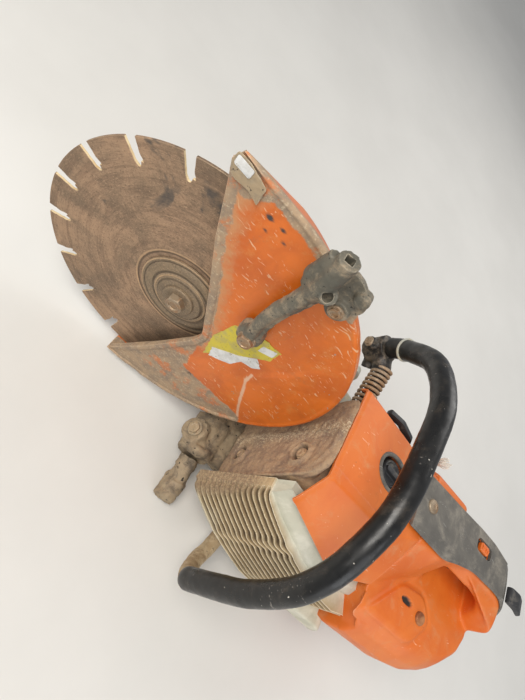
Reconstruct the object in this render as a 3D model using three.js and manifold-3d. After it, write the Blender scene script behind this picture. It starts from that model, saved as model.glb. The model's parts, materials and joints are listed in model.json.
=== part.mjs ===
// Petrol-driven circular cut-off saw with a 350 mm segmented wheel, as an assembly of separate pieces.
// Millimetres. +X points forward to the wheel, +Y to the machine's left, +Z up. Pieces are drawn about the
// wheel's centre, and the whole group is then moved so that its origin is the middle of the box's underside.

import * as THREE from "three";
import { mergeVertices } from "three/addons/utils/BufferGeometryUtils.js";
import Module from "manifold-3d";

// ---------------------------------------------------------------- driving dimensions
const BLADE_R = 175;
const BLADE_THICK = 3.2;
const SLOTS = 18;
const SLOT_START = THREE.MathUtils.degToRad(17.5);
const FLOOR_Z = -195; // the surface under the saw, below the wheel's centre

const GUARD = { cx: 0, cz: 13, r: 198, wall: 2.4, left: 22.5, right: -27.5, pivotR: 31.5 };
const BAND = { flatTo: 2, rightInset: 30 }; // the guard's rim is level to there, then slopes in to the right wall
const SPINDLE_R = 9.7;
const FIT = 0.3; // clearance between pieces that touch

const CRANK = { x: -300, z: -62, tilt: THREE.MathUtils.degToRad(-9.7) }; // the engine leans back
const STROKE = 34;
const BORE_R = 24.2;
const CYLINDER_Y = 5; // middle plane of the cylinder
const CHAMBER = { r: 33, left: 30, right: -20 };
const CASE = { left: 42, right: -30 };

const PULLEY = { left: -50, right: -66, driven: 39, drive: 26, flange: 6 };
const BELT = { left: -53.2, right: -62.8, thick: 5 };

const FIN = { count: 14, pitch: 9.35, thick: 5.2, depth: 6.5, first: -75.7 };
const HANDLE_R = 14;
const HANDLE_TUBE_R = 11;
const ROUND = 32; // facets round a large circle
const FINE = 20; // facets round a small one

// ---------------------------------------------------------------- solids
const wasm = await Module();
wasm.setup();

// A closed three.js geometry as a solid that can be joined and cut.
function solid(geometry) {
  const bare = new THREE.BufferGeometry();
  bare.setAttribute("position", geometry.getAttribute("position").clone());
  if (geometry.index) bare.setIndex(geometry.index.clone());
  const merged = mergeVertices(bare, 1e-3);
  const build = (flip) => {
    const triVerts = new Uint32Array(merged.index.array);
    if (flip) for (let i = 0; i < triVerts.length; i += 3) triVerts.subarray(i, i + 2).reverse();
    return new wasm.Manifold(
      new wasm.Mesh({ numProp: 3, vertProperties: new Float32Array(merged.attributes.position.array), triVerts }),
    );
  };
  const made = build(false);
  return made.volume() < 0 ? build(true) : made;
}

function join(...solids) {
  return solids.reduce((a, b) => a.add(b));
}

function geometryOf(made) {
  const mesh = made.getMesh();
  const geometry = new THREE.BufferGeometry();
  const positions = new Float32Array(mesh.numVert * 3);
  for (let i = 0; i < mesh.numVert; i++)
    positions.set(mesh.vertProperties.subarray(i * mesh.numProp, i * mesh.numProp + 3), i * 3);
  geometry.setAttribute("position", new THREE.BufferAttribute(positions, 3));
  geometry.setIndex(new THREE.BufferAttribute(new Uint32Array(mesh.triVerts), 1));
  return geometry;
}

const v2 = (x, y) => new THREE.Vector2(x, y);
const v3 = (x, y, z) => new THREE.Vector3(x, y, z);

// A polygon whose corners are rounded by the given radius.
function rounded(points, radius) {
  const shape = new THREE.Shape();
  points.forEach(([x, y], i) => {
    const before = points[(i + points.length - 1) % points.length];
    const after = points[(i + 1) % points.length];
    const cut = ([px, py]) => {
      const length = Math.hypot(px - x, py - y);
      const t = Math.min(radius / length, 0.45);
      return [x + (px - x) * t, y + (py - y) * t];
    };
    const from = cut(before);
    const to = cut(after);
    if (i === 0) shape.moveTo(...from);
    else shape.lineTo(...from);
    shape.quadraticCurveTo(x, y, ...to);
  });
  shape.closePath();
  return shape;
}

function polygon(points) {
  return new THREE.Shape(points.map(([x, y]) => v2(x, y)));
}

function circleShape(radius, x = 0, y = 0) {
  return new THREE.Shape().absarc(x, y, radius, 0, 2 * Math.PI, false);
}

// The outline of a belt round two wheels, which is also the outline of an arm or a cover about them.
function beltOutline(a, b) {
  const span = Math.hypot(b.x - a.x, b.z - a.z);
  const heading = Math.atan2(b.z - a.z, b.x - a.x);
  const lean = Math.acos((a.r - b.r) / span);
  const shape = new THREE.Shape();
  shape.absarc(a.x, a.z, a.r, heading + lean, heading - lean + 2 * Math.PI, false);
  shape.absarc(b.x, b.z, b.r, heading - lean, heading + lean, false);
  shape.closePath();
  return shape;
}

// Extrusions of a shape drawn in XZ, in YZ and in XY, between two places along the third axis.
function slabY(shape, low, high, curveSegments = 6) {
  const geometry = new THREE.ExtrudeGeometry(shape, { depth: high - low, bevelEnabled: false, curveSegments });
  return solid(geometry.rotateX(Math.PI / 2).translate(0, high, 0));
}

function slabX(shape, low, high, curveSegments = 6) {
  const geometry = new THREE.ExtrudeGeometry(shape, { depth: high - low, bevelEnabled: false, curveSegments });
  const turn = new THREE.Matrix4().makeBasis(v3(0, 1, 0), v3(0, 0, 1), v3(1, 0, 0));
  return solid(geometry.applyMatrix4(turn).translate(low, 0, 0));
}

function slabZ(shape, low, high, curveSegments = 6) {
  const geometry = new THREE.ExtrudeGeometry(shape, { depth: high - low, bevelEnabled: false, curveSegments });
  return solid(geometry.translate(0, 0, low));
}

function box(x0, x1, y0, y1, z0, z1) {
  return solid(
    new THREE.BoxGeometry(x1 - x0, y1 - y0, z1 - z0).translate((x0 + x1) / 2, (y0 + y1) / 2, (z0 + z1) / 2),
  );
}

// A body of revolution about the Y axis from [radius, y] points; closed says that the profile is a ring.
function turned(profile, { closed = false, facets = FINE } = {}) {
  const points = profile.map(([r, y]) => v2(r, y));
  if (closed) points.push(points[0].clone());
  return solid(new THREE.LatheGeometry(points, facets));
}

const rod = (r, low, high, facets = FINE) => turned([[0, low], [r, low], [r, high], [0, high]], { facets });
const ring = (rIn, rOut, low, high, facets = FINE) =>
  turned([[rIn, low], [rOut, low], [rOut, high], [rIn, high]], { closed: true, facets });
const hexagon = (acrossFlats, low, high) => rod(acrossFlats / Math.sqrt(3), low, high, 6);

// A rod between two points.
function rodBetween(a, b, r, facets = 16) {
  const length = a.distanceTo(b);
  const geometry = new THREE.CylinderGeometry(r, r, length, facets);
  const turn = new THREE.Quaternion().setFromUnitVectors(v3(0, 1, 0), b.clone().sub(a).normalize());
  geometry.applyQuaternion(turn);
  const middle = a.clone().add(b).multiplyScalar(0.5);
  return solid(geometry.translate(middle.x, middle.y, middle.z));
}

function tube(points, r, steps, sides) {
  const path = new THREE.CatmullRomCurve3(points, false, "centripetal");
  const section = polygon(
    Array.from({ length: sides }, (_, i) => {
      const turn = (2 * Math.PI * i) / sides;
      return [r * Math.cos(turn), r * Math.sin(turn)];
    }),
  );
  return solid(new THREE.ExtrudeGeometry(section, { steps, extrudePath: path, bevelEnabled: false }));
}

// A closed skin through sections of [y, z] points that stand at the given x places.
function loft(sections) {
  const positions = [];
  const indices = [];
  const count = sections[0].points.length;
  for (const { x, points } of sections) for (const [y, z] of points) positions.push(x, y, z);
  for (let s = 0; s + 1 < sections.length; s++)
    for (let i = 0; i < count; i++) {
      const a = s * count + i;
      const b = s * count + ((i + 1) % count);
      indices.push(a, b, a + count, b, b + count, a + count);
    }
  for (const s of [0, sections.length - 1]) {
    const outline = sections[s].points.map(([y, z]) => v2(y, z));
    const facing = Math.sign(THREE.ShapeUtils.area(outline)) * (s === 0 ? -1 : 1);
    for (const triangle of THREE.ShapeUtils.triangulateShape([...outline], [])) {
      const turned = Math.sign(THREE.ShapeUtils.area(triangle.map((i) => outline[i])));
      const corners = triangle.map((i) => s * count + i);
      indices.push(...(turned === facing ? corners : corners.reverse()));
    }
  }
  const geometry = new THREE.BufferGeometry();
  geometry.setAttribute("position", new THREE.Float32BufferAttribute(positions, 3));
  geometry.setIndex(indices);
  return solid(geometry);
}

// ---------------------------------------------------------------- the tree
const FINISH = {
  wheelSteel: { color: 0x6b5a4c, roughness: 0.6, metalness: 0.7 },
  darkSteel: { color: 0x4a4642, roughness: 0.5, metalness: 0.8 },
  brightSteel: { color: 0xa39a8c, roughness: 0.4, metalness: 0.85 },
  guardPaint: { color: 0xc8621c, roughness: 0.5, metalness: 0.1 },
  castGrey: { color: 0x54534f, roughness: 0.7, metalness: 0.4 },
  alloy: { color: 0xa8a69f, roughness: 0.5, metalness: 0.6 },
  burntSteel: { color: 0x6d5a4c, roughness: 0.8, metalness: 0.4 },
  creamCasting: { color: 0xcdbfa2, roughness: 0.8, metalness: 0.1 },
  orangePlastic: { color: 0xde6a33, roughness: 0.55, metalness: 0 },
  greyPlastic: { color: 0x5b5b5a, roughness: 0.7, metalness: 0 },
  blackRubber: { color: 0x17171a, roughness: 0.4, metalness: 0 },
  paleRope: { color: 0xd8cfc4, roughness: 0.95, metalness: 0 },
};

const saw = new THREE.Group();
const engine = new THREE.Group(); // its origin is the crankshaft's axis, its +Z the cylinder's axis
engine.position.set(CRANK.x, 0, CRANK.z);
engine.rotation.y = CRANK.tilt;
saw.add(engine);

function add(name, made, finish, parent = saw) {
  const mesh = new THREE.Mesh(geometryOf(made), new THREE.MeshStandardMaterial(FINISH[finish]));
  mesh.name = name;
  parent.add(mesh);
  return mesh;
}

// A piece drawn about its own Y axis, set down somewhere else with that axis turned to a direction.
function addAlong(name, made, finish, place, direction, parent = saw) {
  const mesh = add(name, made, finish, parent);
  mesh.position.copy(place);
  mesh.quaternion.setFromUnitVectors(v3(0, 1, 0), direction.clone().normalize());
  return mesh;
}

// A point of the engine's frame in the wheel's frame, without the offset along Y.
function fromEngine(x, z) {
  const turned3 = v3(x, 0, z).applyAxisAngle(v3(0, 1, 0), CRANK.tilt);
  return { x: CRANK.x + turned3.x, z: CRANK.z + turned3.z };
}

// ---------------------------------------------------------------- wheel and spindle
function wheelShape() {
  const shape = new THREE.Shape();
  const halfSlot = 3.6;
  const slotDepth = 25;
  const toothSteps = 4;
  const edge = Math.asin(halfSlot / BLADE_R);
  const place = (turn, radial, side) =>
    v2(radial * Math.cos(turn) - side * Math.sin(turn), radial * Math.sin(turn) + side * Math.cos(turn));
  const points = [];
  for (let i = 0; i < SLOTS; i++) {
    const turn = SLOT_START + (2 * Math.PI * i) / SLOTS;
    const next = turn + (2 * Math.PI) / SLOTS;
    points.push(
      place(turn, BLADE_R - slotDepth + 7, -halfSlot),
      place(turn, BLADE_R - slotDepth + 1, -halfSlot + 0.8),
      place(turn, BLADE_R - slotDepth - 1.5, 0.5),
      place(turn, BLADE_R - slotDepth, halfSlot + 0.6),
      place(turn, BLADE_R - slotDepth + 4, halfSlot + 2),
      place(turn, BLADE_R - slotDepth + 9, halfSlot),
    );
    for (let step = 0; step <= toothSteps; step++) {
      const at = turn + edge + ((next - turn - 2 * edge) * step) / toothSteps;
      points.push(v2(BLADE_R * Math.cos(at), BLADE_R * Math.sin(at)));
    }
  }
  shape.setFromPoints(points);
  shape.holes.push(new THREE.Path().absarc(0, 0, SPINDLE_R + FIT, 0, 2 * Math.PI, true));
  return shape;
}

const half = BLADE_THICK / 2;
add("blade", slabY(wheelShape(), -half, half, 12), "wheelSteel");
const flangeProfile = (side) => [
  [SPINDLE_R + FIT, side * (half + FIT)],
  [38, side * (half + FIT)],
  [38, side * (half + 1.2)],
  [44, side * (half + FIT)],
  [51.5, side * (half + FIT)],
  [51.5, side * (half + 2.2)],
  [44, side * (half + 4)],
  [30, side * (half + 4.6)],
  [26, side * (half + 6.6)],
  [SPINDLE_R + FIT, side * (half + 6.6)],
];
add("outer_flange", turned(flangeProfile(1), { closed: true }), "wheelSteel");
add("inner_flange", turned(flangeProfile(-1), { closed: true }), "darkSteel");

const WASHER_LOW = half + 6.6 + FIT;
add("blade_washer", ring(5.6, 19, WASHER_LOW, WASHER_LOW + 2.6), "brightSteel");
const BOLT_LOW = WASHER_LOW + 2.6 + FIT;
add("blade_bolt", join(rod(5.2, -22, BOLT_LOW + 1), hexagon(20, BOLT_LOW, BOLT_LOW + 8)), "brightSteel");
const SPINDLE_END = PULLEY.right - 3;
add(
  "spindle",
  turned([
    [0, SPINDLE_END], [SPINDLE_R, SPINDLE_END], [SPINDLE_R, half + 5.5],
    [5.5, half + 5.5], [5.5, -24], [0, -24],
  ]),
  "brightSteel",
);

function pulley(groove, boreR) {
  const rim = groove + PULLEY.flange;
  return turned(
    [
      [boreR, PULLEY.right], [rim, PULLEY.right], [rim, PULLEY.right + 2.6], [groove, PULLEY.right + 3],
      [groove, PULLEY.left - 3], [rim, PULLEY.left - 2.6], [rim, PULLEY.left], [boreR, PULLEY.left],
    ],
    { closed: true },
  );
}
add("driven_pulley", pulley(PULLEY.driven, SPINDLE_R + FIT), "darkSteel");

// ---------------------------------------------------------------- guard
function guardOutline(inset, opening) {
  const r = GUARD.r - inset;
  const shape = new THREE.Shape();
  shape.moveTo(68 - inset / 2, GUARD.cz + r - 1);
  shape.lineTo(0, GUARD.cz + r);
  shape.absarc(GUARD.cx, GUARD.cz, r, Math.PI / 2, (3 * Math.PI) / 2, false);
  opening(shape);
  shape.closePath();
  return shape;
}

// The edge of the left face round the part of the wheel that is bare, from the lower tip to the upper one.
function leftOpening(shape) {
  shape.lineTo(-12, -143);
  shape.lineTo(-29, -80);
  shape.lineTo(-42, -22);
  shape.quadraticCurveTo(-47, -3, -37, 16);
  shape.lineTo(-7, 65);
  shape.lineTo(33, 126);
  shape.lineTo(71, 196);
}

// The space inside the rim, shrunk all round by a wall; its sections stand along Y.
function guardBody(wall, ends) {
  const section = (y, inset) => ({
    x: y,
    points: guardOutline(inset, leftOpening).getPoints(24).slice(0, -1).map(({ x, y: z }) => [x, z]),
  });
  const sloped = loft([
    section(GUARD.right - ends, BAND.rightInset + 1.4 * wall + ends),
    section(BAND.flatTo, wall),
    section(GUARD.left + ends, wall),
  ]);
  return sloped.mirror([1, -1, 0]);
}

function guardShell() {
  const left = slabY(guardOutline(0, leftOpening), GUARD.left - GUARD.wall, GUARD.left, 24);
  const right = slabY(guardOutline(BAND.rightInset, leftOpening), GUARD.right, GUARD.right + GUARD.wall, 24);
  const hub = slabY(circleShape(52), GUARD.right, GUARD.right + GUARD.wall, ROUND / 2);
  const outer = guardBody(0, 0);
  const inner = guardBody(GUARD.wall, 1);
  const frontCut = box(-60, 80, GUARD.right - 1, GUARD.left + 1, -174, GUARD.cz + GUARD.r - 5);
  const rim = outer.subtract(inner).subtract(frontCut);
  const pivot = rod(GUARD.pivotR, GUARD.right - 1, GUARD.right + GUARD.wall + 1, ROUND);
  return join(left, right, hub, rim).subtract(pivot);
}
add("guard_shell", guardShell(), "guardPaint");

const FACE = GUARD.left + FIT;
add(
  "guard_tip_plate",
  slabY(rounded([[70, 194], [72, 207], [55, 209], [45, 202], [48, 196]], 3), FACE, FACE + 2),
  "brightSteel",
);
add(
  "guard_bracket",
  join(
    slabY(rounded([[-100, 172], [-52, 166], [-40, 196], [-62, 216], [-100, 205]], 14), FACE, FACE + 7),
    rod(11, FACE + 7, FACE + 11).translate(-76, 0, 188),
  ),
  "castGrey",
);
addAlong("guard_bracket_bolt", rod(8, 0, 5, 12), "brightSteel", v3(-76, FACE + 11 + FIT, 188), v3(0, 1, 0));

const HANDLE_FOOT = v3(-60, 0, 85);
function guardHandle() {
  const low = FACE + 7.3;
  const bar = slabY(
    rounded([[-67, 98], [-49, 97], [-31, 150], [-24, 196], [-42, 206], [-51, 176]], 6), low, low + 15,
  );
  const foot = rod(17, FACE, low + 9, FINE).translate(HANDLE_FOOT.x, 0, HANDLE_FOOT.z);
  const end = rodBetween(v3(-40, low + 13.3, 188), v3(-28, low + 13.3, 241), 13, 16);
  const lug = rodBetween(v3(-47, low + 1, 203), v3(-45, low + 26, 206), 11, 12);
  const socket = box(-5, 5, -5, 5, -14, 14);
  const placed = socket.rotate([0, 12.8, 0]).translate(-27, low + 13.3, 236);
  return join(bar, foot, end, lug).subtract(placed);
}
add("guard_handle", guardHandle(), "castGrey");
addAlong(
  "guard_handle_nut", join(rod(11, 0, 2), hexagon(15, 1.9, 9)), "brightSteel",
  v3(HANDLE_FOOT.x, FACE + 16.3 + FIT, HANDLE_FOOT.z), v3(0, 1, 0),
);

// ---------------------------------------------------------------- arm, bearings, belt and cover
const HUB_BOSS = { r: 31, left: -12 };
const BEARING_R = 15.7;
function arm() {
  const plate = slabY(
    beltOutline({ x: 0, z: 0, r: 44 }, { x: CRANK.x, z: CRANK.z, r: 52 }), CASE.right - 16, CASE.right - FIT, 16,
  );
  const boss = rod(HUB_BOSS.r, CASE.right - 1, HUB_BOSS.left, ROUND);
  const bore = rod(BEARING_R + FIT, CASE.right - 17, HUB_BOSS.left + 1, FINE);
  const crankBore = rod(16, CASE.right - 17, CASE.right + 1, FINE).translate(CRANK.x, 0, CRANK.z);
  const lightening = slabY(
    beltOutline({ x: -70, z: -14, r: 14 }, { x: -215, z: -44, r: 20 }), CASE.right - 17, CASE.right + 1, 8,
  );
  return join(plate, boss).subtract(bore).subtract(crankBore).subtract(lightening);
}
add("arm", arm(), "alloy");
add("spindle_bearing_left", ring(SPINDLE_R + FIT, BEARING_R, -22, HUB_BOSS.left - 0.5, FINE), "brightSteel");
add("spindle_bearing_right", ring(SPINDLE_R + FIT, BEARING_R, -45.5, -36, FINE), "brightSteel");

const beltAround = (offset) =>
  beltOutline({ x: 0, z: 0, r: PULLEY.driven + offset }, { x: CRANK.x, z: CRANK.z, r: PULLEY.drive + offset });
const beltInside = slabY(beltAround(FIT), BELT.right - 1, BELT.left + 1, 14);
add("v_belt", slabY(beltAround(BELT.thick), BELT.right, BELT.left, 14).subtract(beltInside), "blackRubber");

const COVER = { hubR: 56, crankR: 62, left: -47, right: -72, bulge: -93, wall: 3 };
function beltCover() {
  const outline = (inset) =>
    beltOutline(
      { x: 0, z: 0, r: COVER.hubR - inset }, { x: CRANK.x, z: CRANK.z + 10, r: COVER.crankR - inset },
    );
  const drum = (inset, low, high) => rod(46 - inset, low, high, ROUND).translate(CRANK.x, 0, CRANK.z);
  const outer = join(slabY(outline(0), COVER.right, COVER.left, 12), drum(0, COVER.bulge, COVER.right + 1));
  const inner = join(
    slabY(outline(COVER.wall), COVER.right + COVER.wall, COVER.left + 1, 12),
    drum(COVER.wall, COVER.bulge + COVER.wall, COVER.right + COVER.wall + 1),
  );
  const lug = slabY(
    rounded([[-190, 18], [-222, 14], [-216, 60], [-206, 70], [-196, 62]], 8), COVER.right, COVER.right + 8,
  );
  return outer.add(lug).subtract(inner);
}
add("belt_cover", beltCover(), "alloy");
const coverScrews = { front: [26, 26], rear: [-300, -6] };
for (const [where, [x, z]] of Object.entries(coverScrews))
  addAlong(
    `belt_cover_screw_${where}`, join(rod(6, 0, 4, 12), rod(3.4, 3.9, 5, 6)), "darkSteel",
    v3(x, COVER.right - FIT, z), v3(0, -1, 0),
  );

// ---------------------------------------------------------------- crankcase, crank and piston
const PIN_AT = v3(0, 0, STROKE / 2);
const ROD_LENGTH = 60;
const CYLINDER_FOOT = 48;
function crankcase() {
  const cylinderSeat = box(-37, 37, CYLINDER_Y - 35, CYLINDER_Y + 35, 0, CYLINDER_FOOT);
  const sump = box(-50, 33, CASE.right, CASE.left, -66, -20);
  const body = join(rod(44, CASE.right, CASE.left, ROUND), cylinderSeat, sump);
  const chamber = rod(CHAMBER.r, CHAMBER.right, CHAMBER.left, ROUND);
  const shaftBore = rod(16, CASE.right - 1, CASE.left + 1, FINE);
  const up = slabZ(circleShape(BORE_R, 0, CYLINDER_Y), 10, CYLINDER_FOOT + 1, 16);
  return body.subtract(chamber).subtract(shaftBore).subtract(up);
}
add("crankcase", crankcase(), "alloy", engine);
for (const [side, low] of [["left", CASE.left - 10.5], ["right", CASE.right + 0.5]])
  add(`crank_bearing_${side}`, ring(8.3, 15.7, low, low + 9, FINE), "brightSteel", engine);

// Each crank half carries a stub of the crankpin, and the connecting rod's eye runs between the stubs.
function crankHalf(shaftEnd, faceOut, faceIn, stubEnd) {
  const order = (a, b) => [Math.min(a, b), Math.max(a, b)];
  const disc = rod(30, ...order(faceOut, faceIn), ROUND);
  const shaft = rod(8, ...order(shaftEnd, faceOut + Math.sign(faceIn - faceOut)), FINE);
  const stub = rod(6, ...order(faceIn - Math.sign(faceIn - faceOut), stubEnd), 16).translate(0, 0, PIN_AT.z);
  return join(disc, shaft, stub);
}
add("crank_half_left", crankHalf(79, 22, 13, 9.5), "brightSteel", engine);
add("crank_half_right", crankHalf(-88, -12, -3, 0.5), "brightSteel", engine);

const PIN_Z = STROKE / 2 + ROD_LENGTH;
const alongZ = (made) => made.rotate([90, 0, 0]);
const lathedUp = (profile, facets = FINE) => alongZ(turned(profile, { facets })).translate(0, CYLINDER_Y, 0);
function piston() {
  const crown = PIN_Z + 16;
  const skirt = PIN_Z - 12; // stays clear of the crank's discs at the bottom of the stroke
  const cup = lathedUp([
    [0, crown], [BORE_R - 0.4, crown], [BORE_R - 0.4, skirt], [19, skirt], [19, crown - 6], [0, crown - 6],
  ]);
  const pinBore = rod(6.3, CYLINDER_Y - 30, CYLINDER_Y + 30, 16).translate(0, 0, PIN_Z);
  return cup.subtract(pinBore);
}
add("piston", piston(), "alloy", engine);
add("wrist_pin", rod(6, CYLINDER_Y - 22, CYLINDER_Y + 22, 16).translate(0, 0, PIN_Z), "brightSteel", engine);
function connectingRod() {
  const low = 2;
  const high = 8;
  const bigEnd = rod(11, low, high, FINE).translate(0, 0, PIN_AT.z);
  const smallEnd = rod(10, low, high, FINE).translate(0, 0, PIN_Z);
  const shank = box(-5, 5, low, high, PIN_AT.z + 5, PIN_Z - 5);
  const eye = (z, r) => rod(r, low - 1, high + 1, 16).translate(0, 0, z);
  return join(bigEnd, smallEnd, shank).subtract(eye(PIN_AT.z, 6.3)).subtract(eye(PIN_Z, 6.3));
}
add("connecting_rod", connectingRod(), "brightSteel", engine);

function finnedCylinder() {
  const foot = CYLINDER_FOOT + FIT;
  const top = 122;
  const profile = [[BORE_R, foot], [34, foot], [34, foot + 5]];
  for (let z = foot + 11; z < top - 8; z += 13) profile.push([31, z], [38, z], [38, z + 5], [31, z + 5]);
  profile.push([31, top - 4], [29, top], [5.6, top], [5.6, 108], [BORE_R - 8, 106], [BORE_R, 100]);
  return alongZ(turned(profile, { closed: true, facets: FINE })).translate(0, CYLINDER_Y, 0);
}
add("engine_cylinder", finnedCylinder(), "alloy", engine);
add(
  "spark_plug",
  lathedUp([[0, 104], [5.2, 104], [5.2, 122 + FIT], [9, 122 + FIT], [9, 125], [5, 126], [5, 129], [0, 129]], 12),
  "brightSteel", engine,
);

function flywheel() {
  const disc = rod(42, 50, 56, ROUND);
  const hub = rod(15, 50, 70, FINE);
  const blades = Array.from({ length: 10 }, (_, i) => box(14, 48, 52, 74, -1.6, 1.6).rotate([0, 36 * i, 0]));
  return join(disc, hub, ...blades).subtract(rod(8.3, 49, 75, FINE));
}
add("flywheel", flywheel(), "alloy", engine);

add(
  "clutch_drum",
  join(
    pulley(PULLEY.drive, 8.3),
    turned(
      [
        [8.3, PULLEY.right + 0.5], [8.3, PULLEY.right - 3], [34, PULLEY.right - 3], [34, -86],
        [37.5, -86], [37.5, PULLEY.right - 0.5], [20, PULLEY.right + 0.5],
      ],
      { closed: true },
    ),
  ),
  "darkSteel", engine,
);
add("clutch_shoes", ring(8.3, 31, -83, -72), "darkSteel", engine);

// ---------------------------------------------------------------- ribbed fan housing and starter pulley
const HOUSING = { front: 98.7, rear: -112, top: 88, finTop: 55.2, innerLeft: 46, innerFront: 83 };
function housingPlan(inset) {
  const points = [
    [HOUSING.front - inset, HOUSING.innerFront], [HOUSING.front - inset, 106 - inset],
    [76, 136 - inset], [46, 151 - inset], [8, 157 - inset], [-40, 156 - inset], [-84, 149 - inset],
    [HOUSING.rear + inset, 141 - inset], [HOUSING.rear + inset, HOUSING.innerLeft],
    [36, HOUSING.innerLeft], [36, HOUSING.innerFront],
  ];
  return polygon(points);
}
function fanHousing() {
  let body = slabZ(housingPlan(FIN.depth), FIN.first, HOUSING.finTop + 2);
  for (let i = 0; i < FIN.count; i++) {
    const low = FIN.first + i * FIN.pitch;
    body = body.add(slabZ(housingPlan(0), low, low + FIN.thick));
  }
  const cap = loft(
    [
      { x: HOUSING.rear, low: 127, high: 120, top: 75 },
      { x: -40, low: 147, high: 121, top: 75 },
      { x: 8, low: 149, high: 117, top: 76.5 },
      { x: 60, low: 136, high: 108, top: 80.5 },
      { x: HOUSING.front - 4, low: 106, high: 102, top: 83 },
    ].map(({ x, low, high, top }) => ({
      x,
      points: [
        [60, HOUSING.finTop + 1], [low, HOUSING.finTop + 1], [low, HOUSING.finTop + 8], [high, top], [60, top],
      ],
    })),
  );
  const recess = box(36, HOUSING.front + 1, 60, HOUSING.innerFront, HOUSING.finTop - 5, HOUSING.top + 1);
  const fanRoom = rod(58, HOUSING.innerLeft - 1, 104, ROUND);
  const post = rod(6, 80, 149, 16);
  const room = slabZ(
    polygon([
      [-106, 40], [31, 40], [31, 90], [86, 90], [86, 98], [70, 123], [42, 138], [6, 144], [-40, 143], [-82, 136],
      [-106, 130],
    ]),
    FIN.first + 5, HOUSING.finTop - 4,
  );
  return body.add(cap).subtract(recess).subtract(fanRoom).subtract(room).add(post);
}
add("fan_housing", fanHousing(), "creamCasting", engine);
add(
  "starter_pulley",
  turned(
    [[6.3, 84], [34, 84], [34, 86], [29, 88], [29, 94], [34, 96], [34, 98], [6.3, 98]], { closed: true },
  ),
  "greyPlastic", engine,
);

// ---------------------------------------------------------------- muffler and front foot
const MUFFLER = { front: -208, lip: -220, back: -250 };
function muffler() {
  const outline = (top) => rounded([[80, -124], [80, top - 17], [66, top], [-24, top], [-24, -124]], 12);
  const tall = slabX(outline(89), MUFFLER.lip, MUFFLER.front);
  const front = tall.add(slabX(outline(60), MUFFLER.back, MUFFLER.lip + 1));
  const pocket = (y, z, r) =>
    rod(r, -4, 5, 20).rotate([0, 0, 90]).translate(MUFFLER.front, y, z);
  const wall = 6;
  const room = box(MUFFLER.back + 3, MUFFLER.lip - 3, wall - 24, 80 - wall, wall - 124, 54);
  const port = rod(12, 0, 12, 16).rotate([0, 0, 90]).translate(MUFFLER.back + 8, CYLINDER_Y, 20);
  return front.subtract(room).subtract(port).subtract(pocket(48, -90, 11)).subtract(pocket(51, 32, 11));
}
add("muffler", muffler(), "burntSteel");
for (const [where, y, z] of [["lower", 48, -90], ["upper", 51, 32]])
  addAlong(
    `muffler_bolt_${where}`, rod(7.5, 0, 4.5, 12), "brightSteel",
    v3(MUFFLER.front - 5 + FIT + 1, y, z), v3(1, 0, 0),
  );

function footBracket() {
  const cross = box(-246, -176, -92, 58, -168, -134);
  const nose = slabY(rounded([[-200, -172], [-160, -176], [-150, -150], [-168, -128], [-205, -130]], 10), 8, 66);
  const rightFoot = slabY(rounded([[-236, -140], [-186, -140], [-196, FLOOR_Z], [-228, FLOOR_Z]], 4), -92, -62);
  return join(cross, nose, rightFoot);
}
add("front_foot_bracket", footBracket(), "castGrey");
add(
  "front_foot_bolt", rodBetween(v3(-154, 42, -132), v3(-147, 45, -126), 9, 12), "darkSteel",
);
function frontFoot() {
  const shank = rodBetween(v3(-184, 74, -160), v3(-192, 112, -176), 15, 14);
  const padSide = [
    [-210, -190], [-204, FLOOR_Z], [-180, FLOOR_Z], [-172, -184], [-180, -164], [-202, -164],
  ];
  const pad = slabY(rounded(padSide, 5), 92, 128);
  return join(shank, pad);
}
add("front_foot", frontFoot(), "castGrey");

// ---------------------------------------------------------------- top cover and what is under it
function shroud() {
  const wall = 3;
  const sections = [
    { x: -224, crease: 75, top: 80, low: [104, 40] },
    { x: -330, crease: 69, top: 71.5, low: [124, 13] },
    { x: -394, crease: 66, top: 66, low: [124, 8] },
  ];
  return loft(
    sections.map(({ x, crease, top, low: [y, z] }) => ({
      x,
      points: [
        [-54, top - 12], [-50, top], [crease, top], [y, z],
        [y - wall, z - 1.4], [crease - 1.3, top - wall], [wall - 50, top - wall], [wall - 54, top - 12],
      ],
    })),
  );
}
add("shroud", shroud(), "orangePlastic");

add("air_filter", box(-391, -365, -40, 56, 0, 56), "greyPlastic");
add("carburettor", box(-392, -366, -14, 24, -42, -3), "alloy");

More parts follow.
